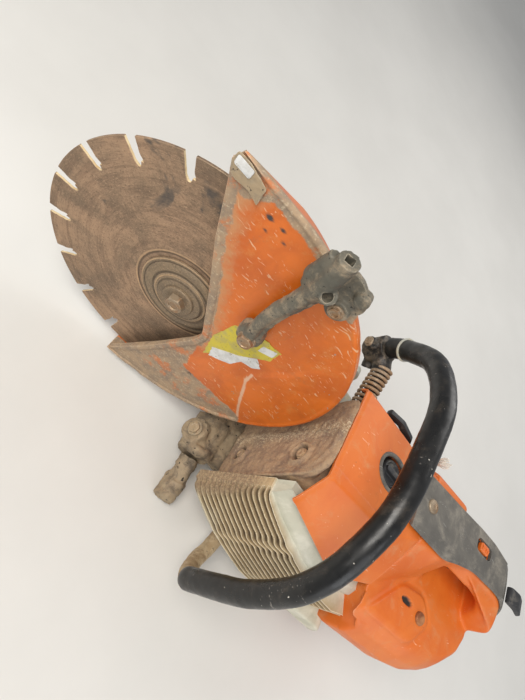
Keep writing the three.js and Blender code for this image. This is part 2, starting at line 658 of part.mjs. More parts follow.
// ---------------------------------------------------------------- rear housing, tank and rear handle
const REAR = { front: -398, end: -606, tankTop: -112 };
function rearHousing() {
  const right = [[-66, REAR.tankTop], [-98, -60], [-92, 0]];
  const sections = [
    {
      x: REAR.front,
      points: [...right, [-44, 70.5], [40, 70.5], [118, 0], [146, -42], [122, -88], [66, REAR.tankTop]],
    },
    { x: -444, points: [...right, [-44, 70.5], [40, 70.5], [124, 4], [146, -28], [126, -74], [66, REAR.tankTop]] },
    { x: -452, points: [...right, [-44, 8], [40, 12], [124, 8], [145, -24], [126, -72], [66, REAR.tankTop]] },
    { x: -540, points: [...right, [-44, 4], [40, 8], [124, 12], [137, -6], [124, -52], [66, REAR.tankTop]] },
    {
      x: -574,
      points: [
        [-60, REAR.tankTop + 14], [-84, -50], [-80, 0], [-44, 4], [40, 8], [108, 14], [120, 4], [110, -34], [62, -88],
      ],
    },
    {
      x: REAR.end,
      points: [
        [-40, -60], [-60, -40], [-58, -8], [-36, 4], [36, 8], [66, 12], [74, 2], [68, -22], [40, -52],
      ],
    },
  ];
  const belly = loft(sections);
  const grip = slabX(rounded([[-34, 50], [28, 50], [38, 70.5], [-42, 70.5]], 5), -573, -446);
  const post = loft([
    { x: -604, points: [[-40, 0], [44, 0], [40, 36], [34, 48], [-36, 48]] },
    { x: -590, points: [[-40, 0], [46, 0], [42, 44], [34, 62], [-38, 62]] },
    { x: -572, points: [[-40, 0], [48, 0], [42, 50], [38, 70.5], [-42, 70.5]] },
  ]);
  const fanCorner = fromEngine(HOUSING.rear - 1.2, 0);
  const fanCut = box(-0.6, 200, HOUSING.innerLeft - 2, 200, -200, HOUSING.top + 1.5)
    .rotate([0, THREE.MathUtils.radToDeg(CRANK.tilt), 0])
    .translate(fanCorner.x, 0, fanCorner.z);
  const room = loft(
    [[-404, 1], [-446, 1], [-540, 0.96], [-568, 0.7]].map(([x, k]) => ({
      x,
      points: [
        [-60, REAR.tankTop - 1], [-90, -60], [-84, -5], [-40, -3], [38, 0], [116, 0], [138, -27], [119, -72],
        [60, REAR.tankTop - 1],
      ].map(([y, z]) => [y * k, z < REAR.tankTop ? z : z * k]),
    })),
  );
  const triggerSlot = box(-526, -450, -12, 12, 45, 66);
  return join(belly.subtract(room), grip, post).subtract(fanCut).subtract(triggerSlot);
}
add("rear_housing", rearHousing(), "orangePlastic");

function fuelTank() {
  const filler = rod(20, -74, -50, FINE).translate(-470, 0, -152);
  const top = REAR.tankTop - FIT;
  const side = [[-404, FLOOR_Z], [-404, top], [-552, top], [-560, -160], [-540, FLOOR_Z]];
  return slabY(rounded(side, 8), -62, 62).add(filler);
}
add("fuel_tank", fuelTank(), "greyPlastic");
addAlong(
  "fuel_cap", join(rod(22, 0, 9, FINE), box(-18, 18, 8.9, 14, -3, 3)), "blackRubber",
  v3(-470, -74 - FIT, -152), v3(0, -1, 0),
);

const COVER_TOP = 76;
function handleCover() {
  const outer = [[-366, 71], [-366, COVER_TOP], [-574, COVER_TOP], [-596, 70], [-612, 52], [-616, 20], [-611, 20]];
  const inner = [[-607.5, 52], [-592, 66], [-574, 71]];
  const strip = slabY(polygon([...outer, ...inner]), -42, 37);
  const slot = slabZ(rounded([[-531, -33], [-497, -33], [-497, -15], [-531, -15]], 8), 60, 90);
  const pinHole = slabZ(circleShape(3.4, -392, -6), 60, 90);
  const leverGap = box(-620, -585, -15, 11, 55, 90);
  return strip.subtract(slot).subtract(pinHole).subtract(leverGap);
}
add("handle_cover", handleCover(), "greyPlastic");
add("handle_cover_screw", slabZ(circleShape(7.5, -392, -6), COVER_TOP + FIT, COVER_TOP + 3), "brightSteel");
const switchOutline = rounded([[-522, -30.5], [-506, -30.5], [-506, -17.5], [-522, -17.5]], 4);
add("stop_switch", slabZ(switchOutline, 71.2, 80), "orangePlastic");

const triggerSide = [
  [-456, 49], [-468, 49], [-506, 46], [-520, 34], [-514, 28], [-500, 36], [-470, 37], [-456, 40],
];
add("throttle_trigger", slabY(rounded(triggerSide, 4), -9, 9), "blackRubber");
add(
  "trigger_lockout",
  slabY(rounded([[-584, 73.5], [-586, 82], [-604, 84], [-622, 78], [-624, 70], [-606, 74]], 4), -13, 9),
  "greyPlastic",
);

// ---------------------------------------------------------------- front handlebar
const archPoints = [
  [-242, 200, -100], [-240, 202, -88], [-240, 201, -40], [-240, 195, 9], [-240, 183, 62], [-240, 172, 96],
  [-240, 148, 128], [-240, 100, 160], [-240, 29, 173], [-240, -28, 172], [-239, -88, 146],
  [-236, -122, 100], [-231, -130, 76],
].map((p) => v3(...p));
add("handlebar", tube(archPoints, HANDLE_R, 34, 10), "blackRubber");
const lowerPoints = [
  [-242.3, 199.7, -101], [-243.6, 198.4, -108], [-251, 188, -125], [-264, 168, -145], [-280, 140, -159],
  [-290, 96, -164], [-292, 20, -165], [-292, -50, -165],
].map((p) => v3(...p));
add("handlebar_lower", tube(lowerPoints, HANDLE_TUBE_R, 18, 8), "castGrey");
function clamp() {
  const sleeve = rodBetween(v3(-229.6, -130.6, 71.5), v3(-226, -131, 40), 17, 18);
  const arm2 = rodBetween(v3(-228, -128, 56), v3(-252, -104, 52), 13, 14);
  const lug = rodBetween(v3(-222, -128, 60), v3(-206, -122, 60), 9, 12);
  const strut = rodBetween(v3(-227, -131, 46), v3(-246, -104, 18), 11, 12);
  return join(sleeve, arm2, lug, strut);
}
add("handlebar_clamp", clamp(), "castGrey");
addAlong("clamp_bolt", rod(5.5, 0, 4, 12), "brightSteel", v3(-205.6, -122, 60), v3(1, 0.3, 0));
add("av_spring", rodBetween(v3(-253, -89.5, 48.5), v3(-254, -34, 32), 12.5, 16), "burntSteel");

// ---------------------------------------------------------------- controls on the top cover
function filterLock() {
  const knob = slabZ(new THREE.Shape().absellipse(0, 0, 28, 22, 0, 2 * Math.PI, false), 0, 3, 14);
  const grip = box(-22, 22, -3.5, 3.5, 2.5, 8);
  const lean = THREE.MathUtils.radToDeg(Math.atan2(80 - 71.5, 106));
  return join(knob, grip).rotate([0, -lean, 0]).translate(-312, 5, 74);
}
add("filter_lock", filterLock(), "blackRubber");
add(
  "choke_lever",
  slabY(rounded([[-278, 60], [-276, 70], [-300, 74], [-330, 66], [-342, 54], [-328, 56], [-300, 64]], 3), -66, -60),
  "blackRubber",
);
add("rope_end", rodBetween(v3(-376, -64, 62), v3(-382, -60, 92), 7, 10), "paleRope");

// ---------------------------------------------------------------- origin
const bounds = new THREE.Box3().setFromObject(saw, true);
const middle = bounds.getCenter(v3(0, 0, 0));
saw.position.set(-middle.x, -middle.y, -bounds.min.z);

const part = new THREE.Group();
part.add(saw);
export default part;
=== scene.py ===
import json
import math

import bmesh
import bpy
import numpy as np
from mathutils import Matrix, Vector, noise

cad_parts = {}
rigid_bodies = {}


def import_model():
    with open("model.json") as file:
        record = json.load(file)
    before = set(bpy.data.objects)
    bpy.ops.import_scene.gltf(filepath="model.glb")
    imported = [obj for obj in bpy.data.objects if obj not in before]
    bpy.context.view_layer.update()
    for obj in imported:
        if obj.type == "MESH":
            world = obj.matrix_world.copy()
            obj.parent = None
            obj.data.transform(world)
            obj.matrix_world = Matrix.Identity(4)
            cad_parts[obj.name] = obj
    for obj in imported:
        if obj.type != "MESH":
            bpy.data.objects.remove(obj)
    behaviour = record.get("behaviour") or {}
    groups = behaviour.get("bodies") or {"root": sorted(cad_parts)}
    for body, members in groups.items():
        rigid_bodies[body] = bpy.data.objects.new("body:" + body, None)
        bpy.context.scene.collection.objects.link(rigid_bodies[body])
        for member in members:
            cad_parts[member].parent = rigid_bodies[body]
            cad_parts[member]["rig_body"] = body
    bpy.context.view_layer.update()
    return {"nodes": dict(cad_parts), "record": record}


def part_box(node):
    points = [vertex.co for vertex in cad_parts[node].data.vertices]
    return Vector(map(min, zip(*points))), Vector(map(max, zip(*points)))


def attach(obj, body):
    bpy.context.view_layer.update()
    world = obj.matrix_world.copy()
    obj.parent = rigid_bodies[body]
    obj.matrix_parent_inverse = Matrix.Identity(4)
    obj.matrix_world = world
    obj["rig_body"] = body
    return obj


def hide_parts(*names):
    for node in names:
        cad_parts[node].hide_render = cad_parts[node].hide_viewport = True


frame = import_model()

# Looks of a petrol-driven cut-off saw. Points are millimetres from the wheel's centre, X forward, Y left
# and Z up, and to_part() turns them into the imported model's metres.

NODES = frame["nodes"]
blade_low, blade_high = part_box("blade")
HUB = (blade_low + blade_high) / 2
HUB_ARRAY = np.array(HUB)
CRANK = (-300.0, -62.0)
TILT = math.radians(-9.7)
BLADE_R = 175.0
SLOTS = 18
SLOT_START = 17.5
SLOT_FLOOR = 149.0
GUARD_R = 198.0
GUARD_CZ = 13.0
GUARD_LEFT = 22.45
GUARD_RIGHT = -27.5
GUARD_HOLE = (-84.0, -79.5)


# ------------------------------------------------------------------ paths and outlines
def travel(points):
    """How far along a polyline each of its points is."""
    return np.concatenate([[0], np.cumsum(np.linalg.norm(np.diff(points, axis=0), axis=1))])


def directions(path):
    """The unit direction of a path at each of its points."""
    tangent = np.gradient(path, axis=0)
    return tangent / np.linalg.norm(tangent, axis=1)[:, None]


def smoothed(points, width):
    """Each column averaged over a number of neighbours, with its ends held."""
    kernel = np.ones(width) / width
    padded = np.pad(points, ((width // 2, width // 2), (0, 0)), "edge")
    return np.stack([np.convolve(column, kernel, "valid") for column in padded.T], 1)


def even(points, count):
    """Evenly spaced points along a polyline."""
    points = np.asarray(points, float)
    along = travel(points)
    places = np.linspace(0, along[-1], count)
    return np.stack([np.interp(places, along, column) for column in points.T], 1)


def spline(points, count):
    """Evenly spaced points along a Catmull-Rom curve through the given points."""
    p = np.asarray(points, float)
    p = np.vstack([2 * p[0] - p[1], p, 2 * p[-1] - p[-2]])
    t = np.linspace(0, 1, 24, endpoint=False)[:, None]
    runs = []
    for a, b, c, d in zip(p[:-3], p[1:-2], p[2:-1], p[3:]):
        square = 2 * a - 5 * b + 4 * c - d
        cube = 3 * b - a - 3 * c + d
        runs.append(0.5 * (2 * b + (c - a) * t + square * t**2 + cube * t**3))
    return even(np.vstack(runs + [p[-2:-1]]), count)


def rounded(points, radius, corner=5, side=3):
    """A closed outline whose corners are rounded, with the same number of points whatever its shape."""
    p = np.asarray(points, float)
    out = []
    for i, here in enumerate(p):
        before = p[i - 1]
        after = p[(i + 1) % len(p)]
        start = here + (before - here) * min(radius / np.linalg.norm(before - here), 0.45)
        end = here + (after - here) * min(radius / np.linalg.norm(after - here), 0.45)
        for t in np.linspace(0, 1, corner):
            out.append((1 - t) ** 2 * start + 2 * t * (1 - t) * here + t**2 * end)
        leave = after + (here - after) * min(radius / np.linalg.norm(here - after), 0.45)
        for t in np.linspace(0, 1, side + 2)[1:-1]:
            out.append(end + (leave - end) * t)
    return np.array(out)


def field(x, z, polygon):
    """Signed distance to a polygon's edge, negative inside."""
    q = np.stack([np.ravel(x), np.ravel(z)], 1)
    corners = np.asarray(polygon, float)
    best = np.full(len(q), 1e9)
    inside = np.zeros(len(q), bool)
    for a, b in zip(corners, np.roll(corners, -1, axis=0)):
        t = np.clip(((q - a) @ (b - a)) / ((b - a) @ (b - a)), 0, 1)[:, None]
        best = np.minimum(best, np.linalg.norm(q - a - t * (b - a), axis=1))
        crosses = (a[1] > q[:, 1]) != (b[1] > q[:, 1])
        slope = (b[0] - a[0]) / (b[1] - a[1] if abs(b[1] - a[1]) > 1e-9 else 1e-9)
        inside ^= crosses & (q[:, 0] < a[0] + slope * (q[:, 1] - a[1]))
    return np.where(inside, -best, best).reshape(np.shape(x))


def line_field(x, z, line):
    """Distance to an open line, and which side of it a point is on."""
    q = np.stack([np.ravel(x), np.ravel(z)], 1)
    corners = np.asarray(line, float)
    best = np.full(len(q), 1e9)
    side = np.zeros(len(q))
    for a, b in zip(corners[:-1], corners[1:]):
        t = np.clip(((q - a) @ (b - a)) / ((b - a) @ (b - a)), 0, 1)[:, None]
        away = q - a - t * (b - a)
        distance = np.linalg.norm(away, axis=1)
        cross = (b[0] - a[0]) * (q[:, 1] - a[1]) - (b[1] - a[1]) * (q[:, 0] - a[0])
        side = np.where(distance < best, np.sign(cross), side)
        best = np.minimum(best, distance)
    return best.reshape(np.shape(x)), side.reshape(np.shape(x))


def step(value, low, high):
    """A smooth rise from 0 at low to 1 at high."""
    t = np.clip((value - low) / (high - low), 0, 1)
    return t * t * (3 - 2 * t)


def from_engine(points):
    """Points of the leaning engine's own frame, whose origin is the crankshaft, in the wheel's frame."""
    p = np.asarray(points, float)
    c, s = math.cos(TILT), math.sin(TILT)
    x = CRANK[0] + p[..., 0] * c + p[..., 2] * s
    z = CRANK[1] - p[..., 0] * s + p[..., 2] * c
    return np.stack([x, p[..., 1], z], -1)


# ------------------------------------------------------------------ raw shapes: (points, faces)
def skin(rows, around=True, caps=True):
    """Quads through rows of points. around closes each row, caps closes both ends."""
    rows = np.asarray(rows, float)
    count, width = rows.shape[:2]
    faces = []
    for r in range(count - 1):
        for c in range(width if around else width - 1):
            a = r * width + c
            b = r * width + (c + 1) % width
            faces.append((a, b, b + width, a + width))
    if around and caps:
        faces.append(tuple(range(width))[::-1])
        faces.append(tuple(range((count - 1) * width, count * width)))
    return rows.reshape(-1, 3), faces


def tube(path, radius, sides=24):
    """A round bar along a path. radius is one number or one for each point."""
    path = np.asarray(path, float)
    radii = np.broadcast_to(radius, len(path))
    tangent = directions(path)
    side = np.cross(tangent[0], (0.31, 0.2, 0.93))
    turns = np.linspace(0, 2 * np.pi, sides, endpoint=False)
    rows = []
    for point, along, r in zip(path, tangent, radii):
        side = side - along * (side @ along)
        side /= np.linalg.norm(side)
        up = np.cross(along, side)
        rows.append(point + r * (np.cos(turns)[:, None] * side + np.sin(turns)[:, None] * up))
    return skin(rows)


def lathe(profile, place=(0, 0, 0), axis=(0, 1, 0), steps=64, flat=None):
    """A turned shape from (radius, height) points. flat cuts it to a hexagon of that half width."""
    axis = Vector(axis).normalized()
    turn = np.array(axis.to_track_quat("Z", "X").to_matrix())
    turns = np.linspace(0, 2 * np.pi, steps, endpoint=False)
    most = flat / np.cos(turns % (np.pi / 3) - np.pi / 6) if flat else np.full(steps, 1e9)
    rows = []
    for r, height in profile:
        radius = np.minimum(r, most)
        ring = np.stack([radius * np.cos(turns), radius * np.sin(turns), np.full(steps, height)], 1)
        rows.append(ring @ turn.T + np.asarray(place, float))
    return skin(rows)


def prism(outline, low, high, along="y"):
    """A flat outline drawn in xz (or xy, or yz) and carried between two places on the third axis."""
    outline = np.asarray(outline, float)
    rows = []
    for level in (low, high):
        third = np.full(len(outline), float(level))
        columns = {
            "y": (outline[:, 0], third, outline[:, 1]),
            "z": (outline[:, 0], outline[:, 1], third),
            "x": (third, outline[:, 0], outline[:, 1]),
        }[along]
        rows.append(np.stack(columns, 1))
    return skin(rows)


def together(*raws):
    """Several raw shapes as one."""
    points = []
    faces = []
    count = 0
    for p, f in raws:
        points.append(p)
        faces += [tuple(i + count for i in face) for face in f]
        count += len(p)
    return np.vstack(points), faces


# ------------------------------------------------------------------ objects
def to_part(points):
    """Millimetres from the wheel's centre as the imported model's metres."""
    return np.asarray(points, float) / 1000 + HUB_ARRAY


def add(name, data):
    """Puts a mesh, camera or lamp into the scene."""
    obj = bpy.data.objects.new(name, data)
    bpy.context.scene.collection.objects.link(obj)
    return obj


def new_object(name, raw, weld=0.002):
    """A mesh object from a raw shape, with points closer than weld millimetres joined."""
    mesh = bpy.data.meshes.new(name)
    mesh.from_pydata(to_part(raw[0]).tolist(), [], [tuple(int(i) for i in face) for face in raw[1]])
    obj = add(name, mesh)
    bm = bmesh.new()
    bm.from_mesh(mesh)
    bmesh.ops.remove_doubles(bm, verts=bm.verts, dist=weld / 1000)
    bmesh.ops.recalc_face_normals(bm, faces=bm.faces)
    bm.to_mesh(mesh)
    bm.free()
    return obj


def modify(obj, kind, **settings):
    """Puts a modifier on and makes its result the mesh."""
    modifier = obj.modifiers.new(kind, kind)
    for key, value in settings.items():
        setattr(modifier, key, value)
    depsgraph = bpy.context.evaluated_depsgraph_get()
    mesh = bpy.data.meshes.new_from_object(obj.evaluated_get(depsgraph))
    obj.modifiers.clear()
    obj.data = mesh
    return obj


def bevel(obj, width, segments=3, angle=30):
    return modify(
        obj, "BEVEL", width=width / 1000, segments=segments, limit_method="ANGLE",
        angle_limit=math.radians(angle), use_clamp_overlap=True,
    )


def cut(obj, *cutters):
    """Takes each cutter's shape out of an object, and removes the cutter."""
    for cutter in cutters:
        modify(obj, "BOOLEAN", operation="DIFFERENCE", object=cutter, solver="EXACT")
        bpy.data.objects.remove(cutter)


def face_along(obj, axis, beyond=-1e9):
    """Flips an open sheet if its faces beyond a place on the axis mostly look back along it."""
    looks = [p.normal[axis] for p in obj.data.polygons if (p.center[axis] - HUB[axis]) * 1000 > beyond]
    if sum(looks) < 0:
        obj.data.flip_normals()


def thicken(obj, thickness, offset=-1.0):
    return modify(obj, "SOLIDIFY", thickness=thickness / 1000, offset=offset)


def vertex_rows(obj, name):
    """A three-part vertex value as one row for each vertex."""
    flat = np.zeros(len(obj.data.vertices) * 3)
    obj.data.vertices.foreach_get(name, flat)
    return flat.reshape(-1, 3)


def coords(obj):
    """Vertex places in millimetres from the wheel's centre."""
    return (vertex_rows(obj, "co") - HUB_ARRAY) * 1000


def set_coords(obj, points):
    obj.data.vertices.foreach_set("co", to_part(points).ravel())
    obj.data.update()


def lumps(points, size, seed, octaves=4):
    """Fractal noise at each point, about -1 to 1, for lumps of the given size."""
    shift = Vector((seed * 17.3, seed * 5.1, -seed * 9.7))
    return np.array([noise.fractal(Vector(p) / size + shift, 0.8, 2.1, octaves) for p in points])


def roughen(obj, amount, size, seed, inward=0.6):
    """Moves the surface in and out by lumps, mostly inward so that the piece keeps its size."""
    points = coords(obj)
    height = lumps(points, size, seed) - inward
    set_coords(obj, points + vertex_rows(obj, "normal") * (height * amount)[:, None])


def cast(name, raws, voxel=1.4, smooth=4, rough=0.0, size=9.0, seed=1):
    """Fuses overlapping shapes into one casting with soft inside corners."""
    obj = new_object(name, together(*raws))
    modify(obj, "REMESH", mode="VOXEL", voxel_size=voxel / 1000)
    modify(obj, "SMOOTH", factor=0.5, iterations=smooth)
    if rough:
        roughen(obj, rough, size, seed)
    return obj


def paint(obj, name, values):
    """A number for each vertex, which a material reads by name."""
    attribute = obj.data.attributes.new(name, "FLOAT", "POINT")
    attribute.data.foreach_set("value", np.asarray(values, np.float32).ravel())


def present(obj, body, material, stands_for=(), sharp=38):
    """The last step of every piece: its shading, finish, body and the CAD nodes it stands for."""
    obj.data.materials.clear()
    for each in material if isinstance(material, (list, tuple)) else [material]:
        obj.data.materials.append(each)
    obj.data.shade_smooth()
    obj.data.set_sharp_from_angle(angle=math.radians(sharp))
    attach(obj, body)
    if stands_for:
        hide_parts(*stands_for)
    return obj


# ------------------------------------------------------------------ materials
def rgb(code):
    """A hex colour as linear red, green, blue and alpha."""
    parts = [int(code[i:i + 2], 16) / 255 for i in (0, 2, 4)]
    return tuple(c / 12.92 if c <= 0.04045 else ((c + 0.055) / 1.055) ** 2.4 for c in parts) + (1.0,)


class Finish:
    """A material's node tree, built by short calls that each return a socket."""

    def __init__(self, name, metallic=0.0, coat=0.0):
        self.material = bpy.data.materials.new(name)
        self.material.use_nodes = True
        self.tree = self.material.node_tree
        self.shader = self.tree.nodes["Principled BSDF"]
        self.shader.inputs["Metallic"].default_value = metallic
        self.shader.inputs["Coat Weight"].default_value = coat
        self.shader.inputs["Coat Roughness"].default_value = 0.25
        self.place = self.node("ShaderNodeTexCoord").outputs["Object"]

    def node(self, kind, links=None, **settings):
        made = self.tree.nodes.new(kind)
        for key, value in settings.items():
            setattr(made, key, value)
        for key, value in (links or {}).items():
            socket = made.inputs[key]
            if isinstance(value, bpy.types.NodeSocket):
                self.tree.links.new(value, socket)
            else:
                socket.default_value = value
        return made

    def noise(self, scale, detail=5.0, rough=0.6, warp=0.0, place=None):
        links = {"Vector": place or self.place, "Scale": scale, "Detail": detail, "Roughness": rough}
        return self.node("ShaderNodeTexNoise", {**links, "Distortion": warp}).outputs["Fac"]

    def ramp(self, value, low, high, start=0.0, end=1.0):
        links = {"Value": value, "From Min": low, "From Max": high, "To Min": start, "To Max": end}
        return self.node("ShaderNodeMapRange", links, interpolation_type="SMOOTHSTEP").outputs["Result"]

    def math(self, operation, a, b=0.0):
        return self.node("ShaderNodeMath", {0: a, 1: b}, operation=operation).outputs[0]

    def times(self, a, b):
        return self.math("MULTIPLY", a, b)

    def plus(self, a, b):
        return self.math("ADD", a, b)

    def less(self, a, b):
        return self.math("SUBTRACT", a, b)

    def most(self, a, b):
        return self.math("MAXIMUM", a, b)

    def mix(self, factor, a, b):
        return self.node("ShaderNodeMix", {0: factor, 6: a, 7: b}, data_type="RGBA").outputs[2]

    def over(self, colour, amount, code):
        """Another colour laid over the first by an amount."""
        return self.mix(amount, colour, rgb(code))

    def tones(self, value, low, high, first, second):
        """From one colour to another as a value goes from low to high."""
        return self.mix(self.ramp(value, low, high), rgb(first), rgb(second))

    def tint(self, colour, *layers):
        """Lays colours over the first one, each as its value goes from low to high, up to its most."""
        for value, low, high, most, code in layers:
            colour = self.over(colour, self.ramp(value, low, high, 0.0, most), code)
        return colour

    def attribute(self, name):
        return self.node("ShaderNodeAttribute", attribute_name=name).outputs["Fac"]

    def stretched(self, angle, thin=1.0, long=0.05):
        """Wavy coordinates pulled out along a direction of the XZ plane, for scratches."""
        links = {"Vector": self.place, "Scale": 38.0, "Detail": 1.0}
        sway = self.node("ShaderNodeTexNoise", links).outputs["Color"]
        links = {0: sway, 1: (0.02, 0.02, 0.02), 2: self.place}
        bent = self.node("ShaderNodeVectorMath", links, operation="MULTIPLY_ADD").outputs[0]
        links = {"Vector": bent, "Rotation": (0.2, math.radians(angle), 0.1), "Scale": (long, thin, thin)}
        return self.node("ShaderNodeMapping", links).outputs[0]

    def ring(self, radius, place, width):
        """One within a thin ring about the wheel's axis, and zero away from it."""
        away = self.math("ABSOLUTE", self.less(radius, place / 1000))
        return self.ramp(away, width / 1000, width / 2500)

    def scratches(self, angle, scale, cut, mask_scale=22.0, long=0.06):
        lines = self.ramp(self.noise(scale, 2.0, 0.5, 0.0, self.stretched(angle, 1.0, long)), cut, cut + 0.03)
        patches = self.ramp(self.noise(mask_scale, 2.0), 0.5, 0.6)
        return self.times(lines, patches)

    def edges(self, radius, low=0.02, high=0.18):
        """Where the surface turns sharply: the places that lose their paint first, and where the cream
        casting gets a painted highlight.
        """
        soft = self.node("ShaderNodeBevel", {"Radius": radius / 1000}, samples=4).outputs[0]
        normal = self.node("ShaderNodeNewGeometry").outputs["Normal"]
        dot = self.node("ShaderNodeVectorMath", {0: soft, 1: normal}, operation="DOT_PRODUCT")
        return self.ramp(self.less(1.0, dot.outputs["Value"]), low, high)

    def polar(self):
        """Radius and turn about the wheel's axis as a texture coordinate."""
        centred = self.node("ShaderNodeVectorMath", {0: self.place, 1: tuple(HUB)}, operation="SUBTRACT")
        parts = self.node("ShaderNodeSeparateXYZ", {0: centred.outputs[0]}).outputs
        square = self.plus(self.math("POWER", parts[0], 2.0), self.math("POWER", parts[2], 2.0))
        radius = self.math("SQRT", square)
        turn = self.math("ARCTAN2", parts[2], parts[0])
        return radius, turn

    def finish(self, colour, roughness, height=None, strength=0.4, distance=0.4):
        self.tree.links.new(colour, self.shader.inputs["Base Color"])
        self.tree.links.new(roughness, self.shader.inputs["Roughness"])
        if height is not None:
            links = {"Height": height, "Strength": strength, "Distance": distance / 1000}
            bump = self.node("ShaderNodeBump", links).outputs[0]
            self.tree.links.new(bump, self.shader.inputs["Normal"])
        return self.material


def worn(name, base, second, metallic=0.0, rough=(0.45, 0.65), patches=30.0, dust=None, dust_cut=(0.5, 0.7),
         dust_scale=45.0, edge=None, edge_radius=1.5, chip=None, chip_scale=160.0, chip_cut=0.7, scratch=None,
         scratch_cut=0.66, grain=900.0, strength=0.35, depth=0.4, coat=0.0):
    """The common finish: two tones, dust in patches, worn edges, chips, scratches and a fine grain."""
    f = Finish(name, metallic, coat)
    colour = f.tones(f.noise(patches, 6.0, 0.65), 0.35, 0.65, base, second)
    fine = f.noise(grain, 3.0)
    height = f.times(fine, 0.35)
    if dust:
        powder = f.plus(f.noise(dust_scale, 8.0, 0.7, 0.4), f.times(fine, 0.15))
        cover = f.ramp(powder, *dust_cut)
        colour = f.over(colour, f.times(cover, 0.85), dust)
        height = f.plus(height, f.times(cover, 0.4))
    if scratch:
        lines = f.most(f.scratches(25, 420.0, scratch_cut), f.scratches(-48, 380.0, scratch_cut))
        colour = f.over(colour, lines, scratch)
        height = f.less(height, f.times(lines, 0.4))
    if chip:
        spots = f.ramp(f.noise(chip_scale, 4.0, 0.55), chip_cut, chip_cut + 0.03)
        colour = f.over(colour, spots, chip)
        height = f.less(height, f.times(spots, 0.8))
    if edge:
        worn_off = f.times(f.edges(edge_radius), f.ramp(f.noise(120.0, 5.0, 0.7), 0.38, 0.56))
        colour = f.over(colour, worn_off, edge)
    return f.finish(colour, f.ramp(f.noise(patches * 3, 6.0), 0.3, 0.7, *rough), height, strength, depth)


def wheel_finish(name, dark, light, streak):
    """Ground steel with scratches that run round the wheel, dark smears and baked dust."""
    f = Finish(name, 0.55)
    radius, turn = f.polar()
    rings = f.node("ShaderNodeCombineXYZ", {0: radius, 1: f.times(turn, 0.014)}).outputs[0]
    lines = f.noise(1000.0, 4.0, 0.8, 0.3, rings)
    broad = f.noise(120.0, 3.0, 0.6, 0.6, rings)
    cloud = f.noise(13.0, 9.0, 0.72, 0.4)
    speckle = f.noise(480.0, 5.0, 0.75)
    colour = f.tones(cloud, 0.36, 0.62, dark, light)
    colour = f.tint(
        colour, (broad, 0.46, 0.64, 0.35, streak), (speckle, 0.55, 0.70, 0.55, "d4b291"),
        (speckle, 0.45, 0.32, 0.55, "4b3d33"), (lines, 0.54, 0.66, 0.55, "4c4038"),
        (lines, 0.42, 0.32, 0.45, "d6b795"), (f.noise(17.0, 4.0, 0.6, 0.5), 0.63, 0.70, 0.7, "484a4b"),
    )
    patchy = f.ramp(cloud, 0.30, 0.62, 0.25, 0.75)
    pale, deep = "d0ae88", "3f342c"
    for place, width, code in ((59.4, 1.4, pale), (50.6, 0.9, pale), (31.6, 0.9, pale), (57.0, 1.5, deep),
                               (47.2, 1.2, deep), (35.2, 2.0, deep), (27.6, 1.2, deep)):
        colour = f.over(colour, f.times(f.ring(radius, place, width), patchy), code)
    colour = f.over(colour, f.edges(1.2, 0.03, 0.3), "cdb595")
    height = f.plus(f.times(lines, 0.7), f.times(speckle, 0.5))
    return f.finish(colour, f.ramp(cloud, 0.3, 0.7, 0.56, 0.76), height, 0.5, 0.3)


def guard_finish():
    """Scratched orange paint over steel, bare and dusty towards the opening and along the bottom, rubbed pale
    with a painted highlight along the ridge, and with painted shade in the dented hole.
    """
    f = Finish("guard_paint", 0.0, 0.12)
    tone = f.noise(14.0, 6.0, 0.6, 0.5)
    colour = f.tones(tone, 0.35, 0.65, "c45c0c", "dc6f16")
    colour = f.tint(
        colour, (f.noise(60.0, 8.0, 0.75), 0.52, 0.70, 0.6, "cf8440"),
        (f.noise(24.0, 9.0, 0.8, 0.4), 0.58, 0.70, 0.6, "a9673a"),
    )
    strokes = None
    for angle, cut in ((18, 0.655), (62, 0.665), (-35, 0.66), (100, 0.67)):
        lines = f.scratches(angle, 260.0 + angle, cut, 30.0 + angle / 6, 0.16)
        strokes = lines if strokes is None else f.most(strokes, lines)
    colour = f.over(colour, f.times(strokes, 0.8), "dfb48c")
    chips = f.ramp(f.noise(110.0, 5.0, 0.62), 0.70, 0.725)
    colour = f.over(colour, chips, "9a9184")
    steel = f.tones(f.noise(55.0, 7.0, 0.7), 0.4, 0.62, "a98f72", "8f7c68")
    steel = f.tint(
        steel, (f.noise(26.0, 6.0, 0.7), 0.52, 0.62, 0.75, "c9743f"),
        (f.noise(300.0, 5.0, 0.7), 0.52, 0.68, 0.6, "cdbb9d"),
    )
    ragged = f.plus(f.times(f.noise(70.0, 8.0, 0.7), 0.5), -0.25)
    bare = f.ramp(f.plus(f.attribute("bare"), ragged), 0.46, 0.54)
    dusty = f.ramp(f.plus(f.attribute("dust"), f.times(ragged, 1.6)), 0.35, 0.75, 0.0, 0.72)
    # pale rub at the rim and along the ridge, where it is partly a painted highlight
    rubbed = f.ramp(f.plus(f.attribute("rub_and_highlight"), ragged), 0.42, 0.62, 0.0, 0.85)
    colour = f.over(colour, dusty, "c09468")
    colour = f.over(colour, rubbed, "dcb596")
    colour = f.mix(bare, colour, steel)
    # near-black spots near the tip, and painted shade in the dented hole
    colour = f.over(colour, f.attribute("dark"), "3a3230")
    colour = f.over(colour, f.times(f.edges(1.8), f.ramp(tone, 0.3, 0.5)), "cfb191")
    height = f.plus(f.times(bare, 0.5), f.times(f.noise(500.0, 4.0), 0.3))
    height = f.less(height, f.most(chips, f.times(strokes, 0.5)))
    rough = f.ramp(f.most(bare, f.times(dusty, 0.7)), 0.0, 1.0, 0.42, 0.82)
    return f.finish(colour, rough, height, 0.5, 0.35)


